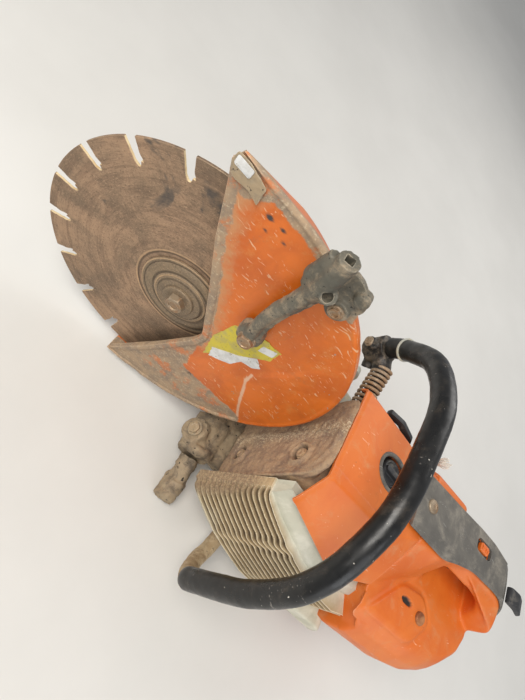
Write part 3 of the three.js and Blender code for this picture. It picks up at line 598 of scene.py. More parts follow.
def orange_finish():
    """Moulded orange plastic, rubbed pale in places, with soft dark dirt, a few fine cuts and painted shade
    in the filter well and the small pit.
    """
    f = Finish("orange_plastic", 0.0, 0.05)
    cloud = f.noise(13.0, 6.0, 0.6, 0.6)
    colour = f.tones(cloud, 0.3, 0.7, "d4651c", "dd7529")
    haze = f.ramp(f.noise(28.0, 9.0, 0.72, 0.8), 0.50, 0.74, 0.0, 0.55)
    colour = f.over(colour, haze, "cf9a6c")
    colour = f.tint(colour, (f.noise(36.0, 8.0, 0.75, 1.0), 0.60, 0.75, 0.5, "a25a2b"))
    cuts = f.most(f.scratches(12, 420.0, 0.69, 18.0), f.scratches(-70, 390.0, 0.70, 21.0))
    colour = f.over(colour, f.times(cuts, 0.6), "f3c3a2")
    colour = f.tint(colour, (f.noise(210.0, 4.0), 0.71, 0.74, 0.8, "8d5634"))
    colour = f.over(colour, f.times(f.edges(2.2, 0.03, 0.3), 0.45), "f0ab84")
    # painted shade on the filter well's floor and in the small pit of the rear housing
    colour = f.over(colour, f.attribute("dark"), "26221f")
    height = f.plus(f.times(f.noise(1100.0, 2.0), 0.3), f.times(cuts, -0.4))
    return f.finish(colour, f.ramp(haze, 0.0, 0.5, 0.46, 0.66), height, 0.25, 0.25)


def slurry_finish():
    """Cream casting under dried cutting slurry, browner low down, with painted shade in the grooves and
    painted highlights on the sharp rib edges.
    """
    f = Finish("cream_casting")
    cloud = f.noise(20.0, 8.0, 0.66, 0.5)
    sand = f.noise(420.0, 6.0, 0.75)
    colour = f.tones(cloud, 0.34, 0.66, "c9b48e", "b39a72")
    colour = f.tint(colour, (f.noise(9.0, 5.0, 0.6), 0.48, 0.62, 0.55, "cfc4a8"))
    # painted highlight along the sharp rib edges
    colour = f.over(colour, f.edges(1.6, 0.015, 0.16), "f3e8cd")
    # painted shade in the open rib grooves
    colour = f.over(colour, f.attribute("groove"), "4a3826")
    colour = f.mix(f.attribute("sand"), colour, f.tones(sand, 0.4, 0.6, "84705a", "b09a7a"))
    colour = f.mix(f.attribute("clean"), colour, f.tones(cloud, 0.4, 0.6, "dad9cb", "c3c4b4"))
    colour = f.tint(colour, (sand, 0.62, 0.72, 0.5, "86694a"))
    height = f.plus(f.times(sand, 0.7), f.times(cloud, 0.6))
    return f.finish(colour, f.ramp(cloud, 0.3, 0.7, 0.72, 0.9), height, 0.6, 0.5)


def burnt_finish():
    """Heat-stained steel caked with sand along its top, with painted shade in its bolt pockets."""
    f = Finish("burnt_steel", 0.1)
    cloud = f.noise(52.0, 9.0, 0.8)
    sand = f.noise(420.0, 7.0, 0.8)
    caked = f.plus(f.times(f.attribute("sand"), 0.10), sand)
    colour = f.tones(cloud, 0.36, 0.60, "8a7361", "b29678")
    colour = f.tint(
        colour, (f.noise(90.0, 8.0, 0.8), 0.52, 0.66, 0.6, "7c6a60"),
        (f.noise(15.0, 7.0, 0.7), 0.52, 0.62, 0.6, "c3a27c"), (caked, 0.60, 0.68, 0.85, "dccbaa"),
        (sand, 0.42, 0.34, 0.75, "493a30"),
    )
    colour = f.over(colour, f.times(f.edges(2.0, 0.03, 0.3), 0.8), "cdb08a")
    # painted shade in the muffler's bolt pockets
    colour = f.over(colour, f.attribute("dark"), "33281f")
    height = f.plus(f.times(caked, 1.4), f.times(cloud, 0.15))
    return f.finish(colour, f.ramp(cloud, 0.3, 0.7, 0.7, 0.9), height, 0.8, 0.8)


def label_finish(name, base, second):
    """Faded print film, with its ground showing in small spots."""
    f = Finish(name)
    colour = f.tones(f.noise(90.0, 6.0, 0.7), 0.42, 0.62, base, second)
    colour = f.tint(colour, (f.noise(240.0, 5.0, 0.7), 0.6, 0.68, 1.0, "8c7c4c"))
    return f.finish(colour, f.ramp(f.noise(50.0), 0.3, 0.7, 0.4, 0.6), f.noise(500.0), 0.15, 0.1)


def rope_finish():
    f = Finish("pale_rope")
    fibre = f.noise(1400.0, 3.0, 0.7)
    colour = f.tones(fibre, 0.4, 0.6, "d3c8ba", "f5f0e8")
    return f.finish(colour, f.ramp(fibre, 0.3, 0.7, 0.85, 1.0), fibre, 0.5, 0.3)


WHEEL = wheel_finish("wheel_steel", "84705c", "b4967a", "6a5648")
FLANGE = wheel_finish("flange_steel", "857663", "a08b70", "6f6152")
GUARD = guard_finish()
ORANGE = orange_finish()
CREAM = slurry_finish()
BURNT = burnt_finish()
ROPE = rope_finish()
YELLOW = label_finish("label_yellow", "cdbb3a", "b9aa5a")
WHITE = label_finish("label_white", "dcdcda", "c9c8c4")
SLOT_EDGE = worn("slot_edge", "e3cfa6", "c9ac7e", 0.1, (0.6, 0.8), 60, strength=0.3)
CAST = worn("cast_grey", "5c5a50", "716b5e", 0.25, (0.5, 0.75), 40, dust="a3927a", dust_cut=(0.52, 0.70),
            edge="b3a995", edge_radius=2.0, chip="2c2b2a", chip_scale=260, chip_cut=0.66, strength=0.7,
            depth=0.6)
FOOT = worn("foot_casting", "6b6052", "8a7860", 0.1, (0.65, 0.85), 35, dust="a9967a", dust_cut=(0.46, 0.66),
            edge="b7a78c", edge_radius=3.0, chip="2d2823", chip_scale=150, chip_cut=0.64, strength=0.8,
            depth=0.9)
ALLOY = worn("alloy", "a9a79c", "8f8d83", 0.5, (0.45, 0.7), 30, dust="a08d72", dust_cut=(0.5, 0.72),
             edge="c8c4b8", chip="55504a", chip_scale=240, chip_cut=0.68, strength=0.5)
PALE_ALLOY = worn("pale_alloy", "b9bab0", "a4a698", 0.1, (0.5, 0.7), 25, dust="c9bb9c", dust_cut=(0.52, 0.72),
                  edge="dcd9cc", strength=0.4)
DARK_STEEL = worn("dark_steel", "4a4642", "3a3734", 0.6, (0.45, 0.65), 60, dust="7c6a56",
                  dust_cut=(0.56, 0.74), edge="8c8478", strength=0.5)
BRIGHT = worn("bright_steel", "a1907a", "8d7c69", 0.55, (0.4, 0.62), 90, dust="a07a55", dust_cut=(0.5, 0.7),
              edge="d6c8b0", edge_radius=1.0, chip="4b4038", chip_scale=300, chip_cut=0.66, strength=0.6)
TIP_STEEL = worn("tip_steel", "8f8474", "a6977f", 0.3, (0.5, 0.75), 60, dust="b09a7b", dust_cut=(0.48, 0.66),
                 edge="c9bca4", chip="4f463c", chip_scale=200, chip_cut=0.64, strength=0.7)
RUST = worn("spring_steel", "9c8b76", "b5a188", 0.35, (0.5, 0.75), 80, dust="9c7a58", dust_cut=(0.48, 0.66),
            edge="b9ab96", edge_radius=0.8, strength=0.5)
GREY = worn("grey_plastic", "585550", "66625b", 0.0, (0.55, 0.72), 24, dust="8d867a", dust_cut=(0.52, 0.76),
            dust_scale=30, edge="7d7c79", edge_radius=1.4, chip="a39e93", chip_scale=230, chip_cut=0.73,
            scratch="8f8d88", scratch_cut=0.70, strength=0.35)
DARK_PLASTIC = worn("dark_plastic", "232325", "2f2f31", 0.0, (0.4, 0.6), 40, dust="6b665e",
                    dust_cut=(0.6, 0.8), edge="55534f", strength=0.3)
RUBBER = worn("black_rubber", "080808", "131211", 0.0, (0.25, 0.45), 22, dust="3f3830", dust_cut=(0.60, 0.80),
              dust_scale=34, chip="d8d2c6", chip_scale=190, chip_cut=0.715, scratch="6f6a64",
              scratch_cut=0.69, strength=0.3, depth=0.4, coat=0.1)
CLAMP_BLACK = worn("clamp_black", "1a1918", "2a2826", 0.1, (0.4, 0.65), 40, dust="75695a",
                   dust_cut=(0.54, 0.72), edge="6d655a", chip="c9bfae", chip_scale=220, chip_cut=0.72,
                   strength=0.5)
SANDY_TUBE = worn("sandy_tube", "b39d7c", "957c5e", 0.05, (0.7, 0.85), 30, dust="cbb897",
                  dust_cut=(0.46, 0.64), chip="5e4f3f", chip_scale=160, chip_cut=0.66, strength=0.6,
                  depth=0.6)
BROWN_CAP = worn("brown_cap", "8a4f2a", "6f3d20", 0.0, (0.4, 0.6), 60, dust="b07a50", edge="b98259",
                 strength=0.4)

SLOT_FINISH = {
    "wheel_steel": WHEEL, "dark_steel": DARK_STEEL, "bright_steel": BRIGHT, "guard_paint": GUARD,
    "cast_grey": CAST, "alloy": ALLOY, "burnt_steel": BURNT, "cream_casting": CREAM,
    "orange_plastic": ORANGE, "grey_plastic": GREY, "black_rubber": DARK_PLASTIC, "pale_rope": ROPE,
}


# ------------------------------------------------------------------ CAD nodes that stay, or are only softened
NODE_SLOT = {part["node"]: part["material_slot"] for part in frame["record"]["subparts"]}
BODY_OF = {name: obj["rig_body"] for name, obj in NODES.items()}


def dress_nodes():
    """Every CAD node gets its slot's finish, also the ones inside the machine."""
    for name, obj in NODES.items():
        finish = SLOT_FINISH[NODE_SLOT[name]]
        if not obj.material_slots:
            obj.data.materials.append(finish)
        for place in obj.material_slots:
            place.material = finish


def soften(node, width, material=None, segments=2):
    """A CAD node's shape with its edges rounded, in place of the node."""
    mesh = NODES[node].data.copy()
    obj = add(node + "_skin", mesh)
    bm = bmesh.new()
    bm.from_mesh(mesh)
    bmesh.ops.remove_doubles(bm, verts=bm.verts, dist=0.00002)
    bmesh.ops.dissolve_limit(bm, angle_limit=math.radians(1.5), verts=bm.verts, edges=bm.edges)
    bm.to_mesh(mesh)
    bm.free()
    bevel(obj, width, segments, 32)
    return present(obj, BODY_OF[node], material or SLOT_FINISH[NODE_SLOT[node]], [node])


# ------------------------------------------------------------------ wheel
def wheel():
    """The segmented wheel: 18 J-shaped slots, thicker rim segments and a ring groove round the flange."""
    tooth = 20
    gap = 5
    bottom = (3.0, -0.6, -1.6, -1.2, 0.8, 4.0)
    rings = (151.6, 152.4, 155.0, 158.0, 160.5, 163.0, 166.0, 169.0, 172.0, 174.2, 174.9)
    inner = (10.0, 26.0, 40.0, 50.0, 54.0, 56.0, 58.6, 59.4, 62.0, 70.0, 84.0, 100.0, 116.0, 132.0, 142.0)
    points = []
    faces = []
    sector = 2 * math.pi / SLOTS
    half = 3.6 / BLADE_R

    def sheet_height(r):
        low = 0.35 * (r < 151.9)
        groove = 0.22 * sum(math.exp(-((r - c) / 1.1) ** 2) for c in (158, 166))
        ring = 0.3 * math.exp(-((r - 57) / 1.3) ** 2)
        return 1.6 - low - groove - ring

    def vertex(r, turn):
        points.append((r * math.cos(turn), sheet_height(r), r * math.sin(turn)))
        return len(points) - 1

    def quads(low_row, high_row):
        for a, b, c, d in zip(low_row, low_row[1:], high_row[1:], high_row):
            faces.append((a, b, c, d))

    for i in range(SLOTS):
        start = math.radians(SLOT_START) + i * sector
        columns = list(np.linspace(start - half, start + half, gap + 1)) + list(
            np.linspace(start + half, start + sector - half, tooth + 1))[1:]
        rows = [[vertex(r, t) for t in columns] for r in inner]
        edge = [vertex(SLOT_FLOOR + (bottom[k] if k <= gap else 0), t) for k, t in enumerate(columns)]
        for low_row, high_row in zip(rows, rows[1:] + [edge]):
            quads(low_row, high_row)
        previous = edge[gap:]
        for r in rings:
            hook = 2.2 * math.exp(-((r - 153.5) / 3.5) ** 2) / r
            flare = (r - SLOT_FLOOR) / 26.0 / r
            first = start + half * BLADE_R / r + hook + 1.2 * flare
            last = start + sector - half * BLADE_R / r - 3.4 * flare
            row = [vertex(r, t) for t in np.linspace(first, last, tooth + 1)]
            quads(previous, row)
            previous = row
    obj = new_object("wheel_disc", (np.array(points), faces), 0.05)
    face_along(obj, 1)
    thicken(obj, 2.9)
    bevel(obj, 0.25, 1, 50)
    present(obj, "wheel", [WHEEL, SLOT_EDGE], ["blade"], 30)
    where = coords(obj)
    for face in obj.data.polygons:
        reach = np.linalg.norm(where[list(face.vertices)][:, [0, 2]], axis=1)
        wall = abs(face.normal.y) < 0.5
        face.material_index = int(wall and reach.max() < 174.6 and reach.min() > 100)


def turned(name, profile, body, material, nodes=(), place=(0, 0, 0), axis=(0, 1, 0), steps=48,
           sharp=38):
    """A lathe shape that needs no more work."""
    return present(new_object(name, lathe(profile, place, axis, steps)), body, material, nodes, sharp)


def piped(name, path, radius, sides, material, nodes=()):
    """A round bar of the root body that needs no more work."""
    return present(new_object(name, tube(path, radius, sides)), "root", material, nodes)


def flange():
    """The stepped outer flange, and the washer on it."""
    profile = [
        (10, 1.9), (51.5, 1.9), (51.5, 3.3), (50.9, 3.8), (49.4, 4.0), (47.8, 3.6), (46.2, 3.7), (44.6, 4.9),
        (43, 5.5), (40, 5.3), (36, 5.2), (33.4, 5.5), (32.4, 6.4), (30.6, 6.6), (29.6, 6.1), (28.6, 6.9),
        (27.4, 7.9), (26.2, 8.2), (24.8, 7.9), (23.6, 8.2), (21, 8.3), (10, 8.2),
    ]
    washer = [(5.6, 8.5), (19, 8.5), (19, 10.2), (18.2, 11.1), (12.5, 11.1), (5.6, 11.1)]
    turned("outer_flange_turned", profile, "wheel", FLANGE, ["outer_flange"],
           steps=128, sharp=30)
    turned("blade_washer_turned", washer, "wheel", FLANGE, ["blade_washer"],
           steps=72, sharp=30)


def hex_bolt(name, place, axis, size, height, body, node, dish=0.5, collar=0.0, material=None):
    """A worn hexagon head with turned-off corners and a dished middle."""
    corner = size / math.cos(math.pi / 6)
    profile = [
        (0, 0), (corner, 0), (corner, height * 0.72), (size * 1.02, height * 0.93), (size * 0.9, height),
        (size * 0.62, height), (size * 0.55, height - dish), (0, height - dish * 1.2),
    ]
    raws = [lathe(profile, place, axis, 72, size)]
    if collar:
        lip = [(0, -0.1), (collar, -0.1), (collar, 1.0), (collar - 0.8, 1.8), (0, 1.8)]
        raws.append(lathe(lip, place, axis, 48))
    obj = new_object(name, together(*raws), 0.0005)
    return present(obj, body, material or BRIGHT, [node], 28)


# ------------------------------------------------------------------ guard
OPENING = [
    (71, 196), (52, 161), (33, 126), (13, 95.5), (-7, 65), (-22, 40.5), (-37, 16), (-42.5, 6), (-43.8, -3),
    (-43.4, -12), (-42, -22), (-35.5, -51), (-29, -80), (-20.5, -111), (-12, -143), (-6, -163), (-1.5, -181),
]
OPENING_RIGHT = [(2, 160), (4, 140), (6, 118), (4, 95)] + OPENING[4:15] + [(-10, -149)]
RIDGE = [(-165, -66), (-150, -46), (-138, -28), (-127, -10), (-117, 5), (-113, 22), (-127, 68), (-136, 122)]
SLURRY = [
    (-168, -66), (-129, -70), (-91, -74), (-71, -74), (-62, -48), (-54, -22), (-47, -8), (-38, -20),
    (-25, -80), (-6, -150), (6, -190), (-60, -200), (-130, -170), (-185, -90),
]
TIP_BARE = [(80, 188), (46, 178), (34, 190), (30, 200), (-40, 199), (-90, 183), (-95, 225), (80, 225)]


def guard_rim(count, inset=0.0):
    """The guard's outer edge from its tip round the back, drawn in by inset."""
    turns = np.radians(np.linspace(90, 270, 160))
    radius = GUARD_R - inset
    arc = np.stack([radius * np.cos(turns), GUARD_CZ + radius * np.sin(turns)], 1)
    return even(np.vstack([[(68 - 2.1 * inset, 210 - inset)], arc]), count)


def guard_face(x, z):
    """How far left the guard's left face stands at a point."""
    distance, side = line_field(x, z, RIDGE)
    fade = step(z, 150, 40)
    behind = step(-side * distance, -5, 4)
    ridge = np.exp(-(distance / 3.2) ** 2)
    height = 21.4 - 1.9 * behind * fade + 0.9 * ridge * fade
    plate = field(x, z, SLURRY)
    height = height + 0.6 * step(plate, 1.0, -1.5)
    return np.minimum(height, GUARD_LEFT)


def guard_shell():
    """Both walls and the rim between them, which slopes in towards the smaller right wall."""
    count = 260
    left_near = even(OPENING, count)
    left_far = guard_rim(count)
    right_near = even(OPENING_RIGHT, count)
    right_far = guard_rim(count, 30)
    turn = np.interp(np.arange(count) / count, [0, 0.10, 0.3, 0.6, 1], [20.5, 16, 11, 4, 2])
    rows = []

    def row(reach, level, inset=None, pressed=False):
        """A row across the guard: reach is a distance from the opening, inset one from the rim."""
        lean = np.clip((turn - level) / (turn - GUARD_RIGHT), 0, 1)[:, None] * (inset is not None)
        near = left_near + (right_near - left_near) * lean
        far = left_far + (right_far - left_far) * lean
        gap = far - near
        length = np.linalg.norm(gap, axis=1)
        squeeze = np.minimum(1, length / 45)
        if reach is None:
            first = length - inset * squeeze
        elif inset is None:
            first = reach * squeeze
        else:
            first = 10 * squeeze + (length - 18 * squeeze) * reach
        where = near + gap * (first / length)[:, None]
        height = guard_face(where[:, 0], where[:, 1]) if pressed else np.full(count, float(level))
        rows.append(np.stack([where[:, 0], height, where[:, 1]], 1))

    for offset, level in ((0.4, 15.0), (0.1, 19.5), (0.6, 21.8), (2.0, 22.4), (6.5, 22.4), (8.2, 21.9)):
        row(offset, level)
    for t in np.linspace(0, 1, 62):
        row(t, 22.0, 0, True)
    for inset, level in ((6.5, 21.6), (4.8, 22.2), (3.0, 22.3), (1.4, 21.6), (0.4, 20.0), (0.0, 17.5)):
        row(None, level, inset)
    for level in (13, 8, 4, 1, -2, -6, -10, -14, -18, -22, -25):
        row(None, level, 0.0)
    for inset, level in ((0.6, -26.5), (3.0, -27.4)):
        row(None, level, inset)
    for t in np.linspace(1, 0, 24):
        row(t, -27.4, 0)
    row(-0.04, -27.4, 0)
    grid = np.array(rows).transpose(1, 0, 2)
    obj = new_object("guard_shell_pressed", skin(grid, around=False), 0.02)
    face_along(obj, 1, 20)
    dent_guard(obj)
    thicken(obj, 2.2)
    guard_wear(obj)
    present(obj, "guard", GUARD, ["guard_shell"], 42)
    turns = np.linspace(0, 2 * np.pi, 97)[:-1]
    collar = [
        [(r * math.cos(t), y, r * math.sin(t)) for t in turns]
        for r, y in ((31.5, -25), (31.5, -27.6), (50, -27.6), (51.5, -26.6), (51.5, -25), (31.5, -25))
    ]
    obj = new_object("guard_hub_ring", skin(collar, caps=False))
    for name in ("bare", "dust", "rub_and_highlight", "dark"):
        paint(obj, name, np.full(len(obj.data.vertices), 0.1 * (name != "dark")))
    present(obj, "guard", GUARD)


def dent_guard(obj):
    """Knocks and ripples along the rim, and a slight waviness of the sheet, all inward."""
    p = coords(obj)
    radial = np.hypot(p[:, 0], p[:, 2] - GUARD_CZ)
    on_rim = step(radial, 188, 197) * (p[:, 1] > -2)
    knock = np.clip(lumps(p, 34.0, 3), 0, 1) * 2.2 + np.clip(lumps(p, 9.0, 4), 0, 1) * 0.7
    lower = step(p[:, 2], -60, -120)
    inward = on_rim * knock * (0.35 + 0.65 * lower)
    scale = 1 - inward / np.maximum(radial, 1)
    p[:, 0] *= scale
    p[:, 2] = GUARD_CZ + (p[:, 2] - GUARD_CZ) * scale
    p[:, 1] -= (p[:, 1] > 20) * (lumps(p, 60.0, 5) + 0.7) * 0.35
    p[:, 1] -= (p[:, 1] > 20) * lower * (lumps(p, 12.0, 6) + 0.5) * 0.5
    hole = np.hypot(p[:, 0] - GUARD_HOLE[0], p[:, 2] - GUARD_HOLE[1])
    p[:, 1] -= (p[:, 1] > 18) * 3.5 * np.exp(-(hole / 2.6) ** 2)
    set_coords(obj, p)


def guard_wear(obj):
    """Where the guard's paint is bare, dusty or rubbed, partly a painted highlight along the ridge, and where
    near-black spots lie, painted shade in the dented hole.
    """
    p = coords(obj)
    x, y, z = p.T
    left = y > 12
    radial = np.hypot(x, z - GUARD_CZ)
    opening, _ = line_field(x, z, OPENING)
    ridge, _ = line_field(x, z, RIDGE[:6])
    low_plate = 0.5 - field(x, z, SLURRY) / 30
    tip = 0.5 - field(x, z, TIP_BARE) / 30
    lip = 0.62 - (opening - 8) / 26
    bare = np.maximum.reduce([low_plate, tip, np.where(left, lip, 0.2)])
    rim = np.where(y > 18, 0.5 - (197.5 - radial) / 8, 0.30)
    bare = np.where(left, bare, np.maximum(bare * (y > -5), 0.36))
    dust = np.clip(0.86 - opening / 58, 0, 1) * step(z, -60, 0) + 0.25 * step(z, 160, 205)
    # pale rub along the ridge, partly a painted highlight, and worn paint at the rim
    rub_and_highlight = np.maximum(0.75 - ridge / 9, rim)
    # near-black spots near the tip, and painted shade in the dented hole
    dark = np.zeros(len(p))
    for cx, cz, size in ((20, 188, 3.4), (6, 190, 2.4), (-3, 182, 1.8), (14, 176, 1.6), (*GUARD_HOLE, 2.6)):
        dark = np.maximum(dark, step(np.hypot(x - cx, (z - cz) * 1.4), size + 1.2, size - 0.8) * (y > 12))
    outside = left | (radial > 194)
    paint(obj, "bare", np.where(outside, np.clip(bare, 0, 1), 0.34))
    paint(obj, "dust", np.where(outside, dust, 0.3))
    paint(obj, "rub_and_highlight", np.clip(rub_and_highlight, 0, 1))
    paint(obj, "dark", dark)


def patch(name, outline, lift, material, seed):
    """A thin torn label that follows the guard's face."""
    points = even(np.vstack([outline, outline[:1]]), 90)[:-1]
    jag = np.array([noise.noise(Vector((p[0] / 4, p[1] / 4, seed))) for p in points])
    centre = points.mean(0)
    points = centre + (points - centre) * (1 + 0.05 * jag[:, None])
    bm = bmesh.new()
    corners = [bm.verts.new((x, 0, z)) for x, z in points]
    bm.faces.new(corners)
    bmesh.ops.triangulate(bm, faces=bm.faces)
    bmesh.ops.subdivide_edges(bm, edges=bm.edges, cuts=5, use_grid_fill=True)
    mesh = bpy.data.meshes.new(name)
    bm.to_mesh(mesh)
    bm.free()
    obj = add(name, mesh)
    p = vertex_rows(obj, "co")
    p[:, 1] = guard_face(p[:, 0], p[:, 2]) + lift
    set_coords(obj, p)
    face_along(obj, 1)
    thicken(obj, 0.2, 1.0)
    present(obj, "guard", material)


def guard_labels():
    patch("label_torn_yellow", np.array([
        (-64, -20), (-50, 20), (-50, 62), (-76, 81), (-99, 85), (-103, 62), (-92, 44), (-84, 26), (-78, 8)]),
        0.1, YELLOW, 1)
    patch("label_torn_white", np.array([
        (-70, -14), (-62, 2), (-84, 28), (-96, 50), (-109, 40), (-104, 30), (-92, 24), (-90, 4), (-80, -6)]),
        0.35, WHITE, 2)
    patch("label_scrap", np.array([(-100, 70), (-86, 60), (-84, 72), (-97, 82)]), 0.35, WHITE, 3)


def guard_fittings():
    """The small steel plate at the guard's tip, its label, and the cast bracket by the handle."""
    tip = rounded([(70, 194), (72, 207.5), (60, 209), (38, 205), (33, 186), (46, 190), (60, 186)], 3)
    obj = new_object("guard_tip_bracket", prism(tip, 22.7, 24.4))
    bevel(obj, 0.6, 2)
    modify(obj, "REMESH", mode="VOXEL", voxel_size=0.0008)
    modify(obj, "SMOOTH", factor=0.5, iterations=2)
    roughen(obj, 0.35, 5.0, 8)
    present(obj, "guard", TIP_STEEL, ["guard_tip_plate"])
    window = rounded([(52, 198), (68, 197), (69.5, 206), (53, 207)], 2)
    obj = new_object("guard_tip_label", prism(window, 24.3, 24.9))
    bevel(obj, 0.25, 2)
    present(obj, "guard", WHITE)
    foot = [(-66, 176), (-78, 183), (-85, 204), (-78, 217), (-62, 226), (-46, 226), (-44, 200)]
    bracket = [
        prism(rounded(foot, 9), 22.8, 28.5),
        lathe([(0, 22.8), (11.5, 22.8), (11.5, 31), (10.4, 33), (0, 33)], (-70, 0, 190)),
        lathe([(0, 22.8), (7.5, 22.8), (7.5, 32), (6, 34), (0, 34)], (-71, 0, 216)),
    ]
    obj = cast("guard_bracket_cast", bracket, 0.9, 5, 0.5, 8.0, 11)
    present(obj, "guard", CAST, ["guard_bracket"])
    hex_bolt("guard_bracket_screw", (-70, 32.8, 190), (0, 1, 0), 5.4, 3.6, "guard",
             "guard_bracket_bolt", 1.4, 7.4)


def guard_handle():
    """The cast bar that tilts the guard: nut boss, waisted bar with a rib, forked end and a square socket."""
    low = 30.2
    path = spline([(-58, low + 6, 90), (-51, low + 8, 112), (-46, low + 8.5, 140), (-45, low + 8, 165),
                   (-43, low + 7.5, 190)], 60)
    radii = np.interp(np.linspace(0, 1, 60), [0, 0.16, 0.45, 0.8, 1], [8.0, 6.6, 7.4, 8.4, 9.0])
    bar = tube(path, radii, 28)
    rib_path = [(-64, low + 2, 96), (-56, low + 3, 130), (-54, low + 3, 165), (-53, low + 3, 190)]
    rib = tube(spline(rib_path, 40), 3.6, 14)
    boss_profile = [(0, 22.9), (14.5, 22.9), (14.5, 33), (13.4, 37), (10.4, 39.4), (0, 39.4)]
    boss = lathe(boss_profile, (-60, 0, 85), steps=56)
    end = tube([(-43, low + 10, 188), (-41, low + 12, 204), (-37, low + 13, 222), (-31.6, low + 13.3, 241)],
               [8, 9.5, 9.8, 9.6], 32)
    fork = tube([(-50, low + 2, 186), (-50, low + 7, 196), (-49, low + 14, 206), (-47, low + 20, 210)],
                [6, 8, 8.2, 7.6], 24)
    cheek = tube([(-36, low + 3, 186), (-30, low + 6, 200), (-27, low + 9, 218), (-24, low + 11, 232)],
                 [5.5, 7, 6.5, 5.5], 20)
    obj = cast("guard_handle_cast", [bar, rib, boss, end, fork, cheek], 1.0, 6, 0.55, 7.0, 12)
    square = [(-3.8, -3.8), (3.8, -3.8), (3.8, 3.8), (-3.8, 3.8)]
    socket = new_object("socket_cutter", prism(square, -9, 14, "z"))
    turn = Matrix.Rotation(math.radians(12.8), 4, "Y")
    socket.data.transform(Matrix.Translation(Vector((-0.0325, 0.0435, 0.2360)) + HUB) @ turn
                          @ Matrix.Translation(-HUB))
    pit = new_object("pit_cutter", lathe([(0, -3), (4.4, -3), (4.4, 14), (0, 14)], (-47.2, low + 18, 209),
                                         (0.1, 1, 0.2), 24))
    cut(obj, socket, pit)
    present(obj, "guard", CAST, ["guard_handle"])
    hex_bolt("guard_handle_screw", (-60, 39.2, 85), (0.04, 1, 0.02), 7.6, 7.0, "guard",
             "guard_handle_nut", 0.8, 10.0)


# ------------------------------------------------------------------ ribbed housing
HOUSING_OUTER = [
    (98.7, 83), (98.7, 104), (92, 110), (76, 117), (52, 126), (24, 135), (-8, 141), (-40, 146), (-84, 146),
    (-112, 138),
]
HOUSING_INNER = [(-112, 46), (36, 46), (36, 83)]
RIBS = 14
RIB_PITCH = 9.35
# Each row: height within the rib pitch, inset from the crests, and the amount of painted shade in the groove.
RIB_SECTION = (
    (-2.2, 8.4, 1.0), (-1.2, 8.0, 1.0), (-0.5, 3.4, 0.7), (0.3, 2.3, 0.25), (2.4, 1.3, 0.05),
    (4.0, 0.1, 0.0), (4.9, 0.1, 0.0), (5.6, 4.2, 0.8), (6.2, 8.4, 1.0),
)
CAP_SECTION = (
    (1.5, 0.0, 0), (7.5, 0.0, 0), (9.5, 0.07, 0), (None, 0.93, 0.4), (None, 1.0, 0), (None, 1.12, 0),
)


def ribbed_housing():
    """Fourteen ribs round the fan side, choked with slurry at the front, under a smooth sloping cap."""
    count = 190
    outer = even(HOUSING_OUTER, count)
    inner = np.array(HOUSING_INNER, float)
    soft = smoothed(outer, 7)
    soft[:2] = outer[:2]
    soft[-2:] = outer[-2:]
    tangent = directions(soft)
    normal = np.stack([-tangent[:, 1], tangent[:, 0]], 1)
    along = travel(soft)
    open_depth = step(along, 11, 15)
    wave = np.exp(-((along - 98) / 13) ** 2) * np.sin((along - 98) / 5.2)
    rows = []
    marks = []

    def level(z, inset, groove):
        """A ring at one height: how deep it lies in from the ribs' crests, and how much painted shade its
        groove gets.
        """
        depth = 0.4 + inset * (0.06 + 0.94 * open_depth)
        shift = (2.2 + 2.6 * step(z, -50, 20)) * wave * step(z, -80, -66) * step(z, 60, 50)
        where = soft + normal * depth[:, None]
        ring = np.vstack([where, inner])
        height = np.concatenate([z + shift, np.full(len(inner), z)])
        rows.append(np.stack([ring[:, 0], ring[:, 1], height], 1))
        marks.append(np.concatenate([groove * open_depth, np.zeros(len(inner))]))

    level(-80.4, 10.0, 0.2)
    level(-78.5, 3.0, 0.1)
    for rib in range(RIBS):
        z = -75.7 + rib * RIB_PITCH
        for up, inset, groove in RIB_SECTION:
            level(z + up, inset, groove)
    level(54.2, 3.0, 0.3)
    level(55.6, 1.4, 0.1)
    x = soft[:, 0]
    foot = np.interp(x, [-112, -40, 0, 26, 63, 87, 95], [112, 129, 128, 121, 111, 102, 99])
    brow = np.interp(x, [-112, -40, -13, 9, 47, 79, 95], [106, 119, 118, 110, 100, 95, 93])
    crown = np.interp(x, [-112, -40, 8, 60, 95], [75, 75, 76.5, 80.5, 83])
    inset_x = np.clip(x, -110.5, 95.5)
    base_y = np.minimum((soft + normal * 7)[:, 1], foot)
    for lift, lean, sink in CAP_SECTION:
        y = base_y + (np.minimum(brow, base_y) - base_y) * lean
        height = 55.2 + lift if lift else 63.5 + (crown - 63.5) * min(lean, 1.0) - sink
        ring = np.vstack([np.stack([inset_x, y], 1), inner])
        inner_z = np.minimum(np.interp(inner[:, 0], [-112, 98], [75, 83]), np.max(height))
        rows.append(np.column_stack([ring, np.concatenate([np.broadcast_to(height, count), inner_z])]))
        marks.append(np.zeros(count + len(inner)))
    raw = skin(from_engine(np.array(rows)))
    obj = new_object("ribbed_housing", raw, 0.0001)
    clean = np.zeros(len(raw[0]))
    clean[-len(CAP_SECTION) * (count + len(inner)):] = 0.85
    # groove: painted shade in the open grooves; clean: the paler cap
    paint_by_place(obj, raw[0], {"groove": np.concatenate(marks), "clean": clean})
    p = coords(obj)
    paint(obj, "sand", step(p[:, 0], -214, -206) * step(p[:, 1], 116, 106))
    outside = p[:, 1] > 84
    rough = (lumps(p, 7.0, 21) * 0.30 + lumps(p, 2.5, 22) * 0.16 - 0.2) * outside
    set_coords(obj, p + vertex_rows(obj, "normal") * rough[:, None])
    present(obj, "root", CREAM, ["fan_housing"], 40)


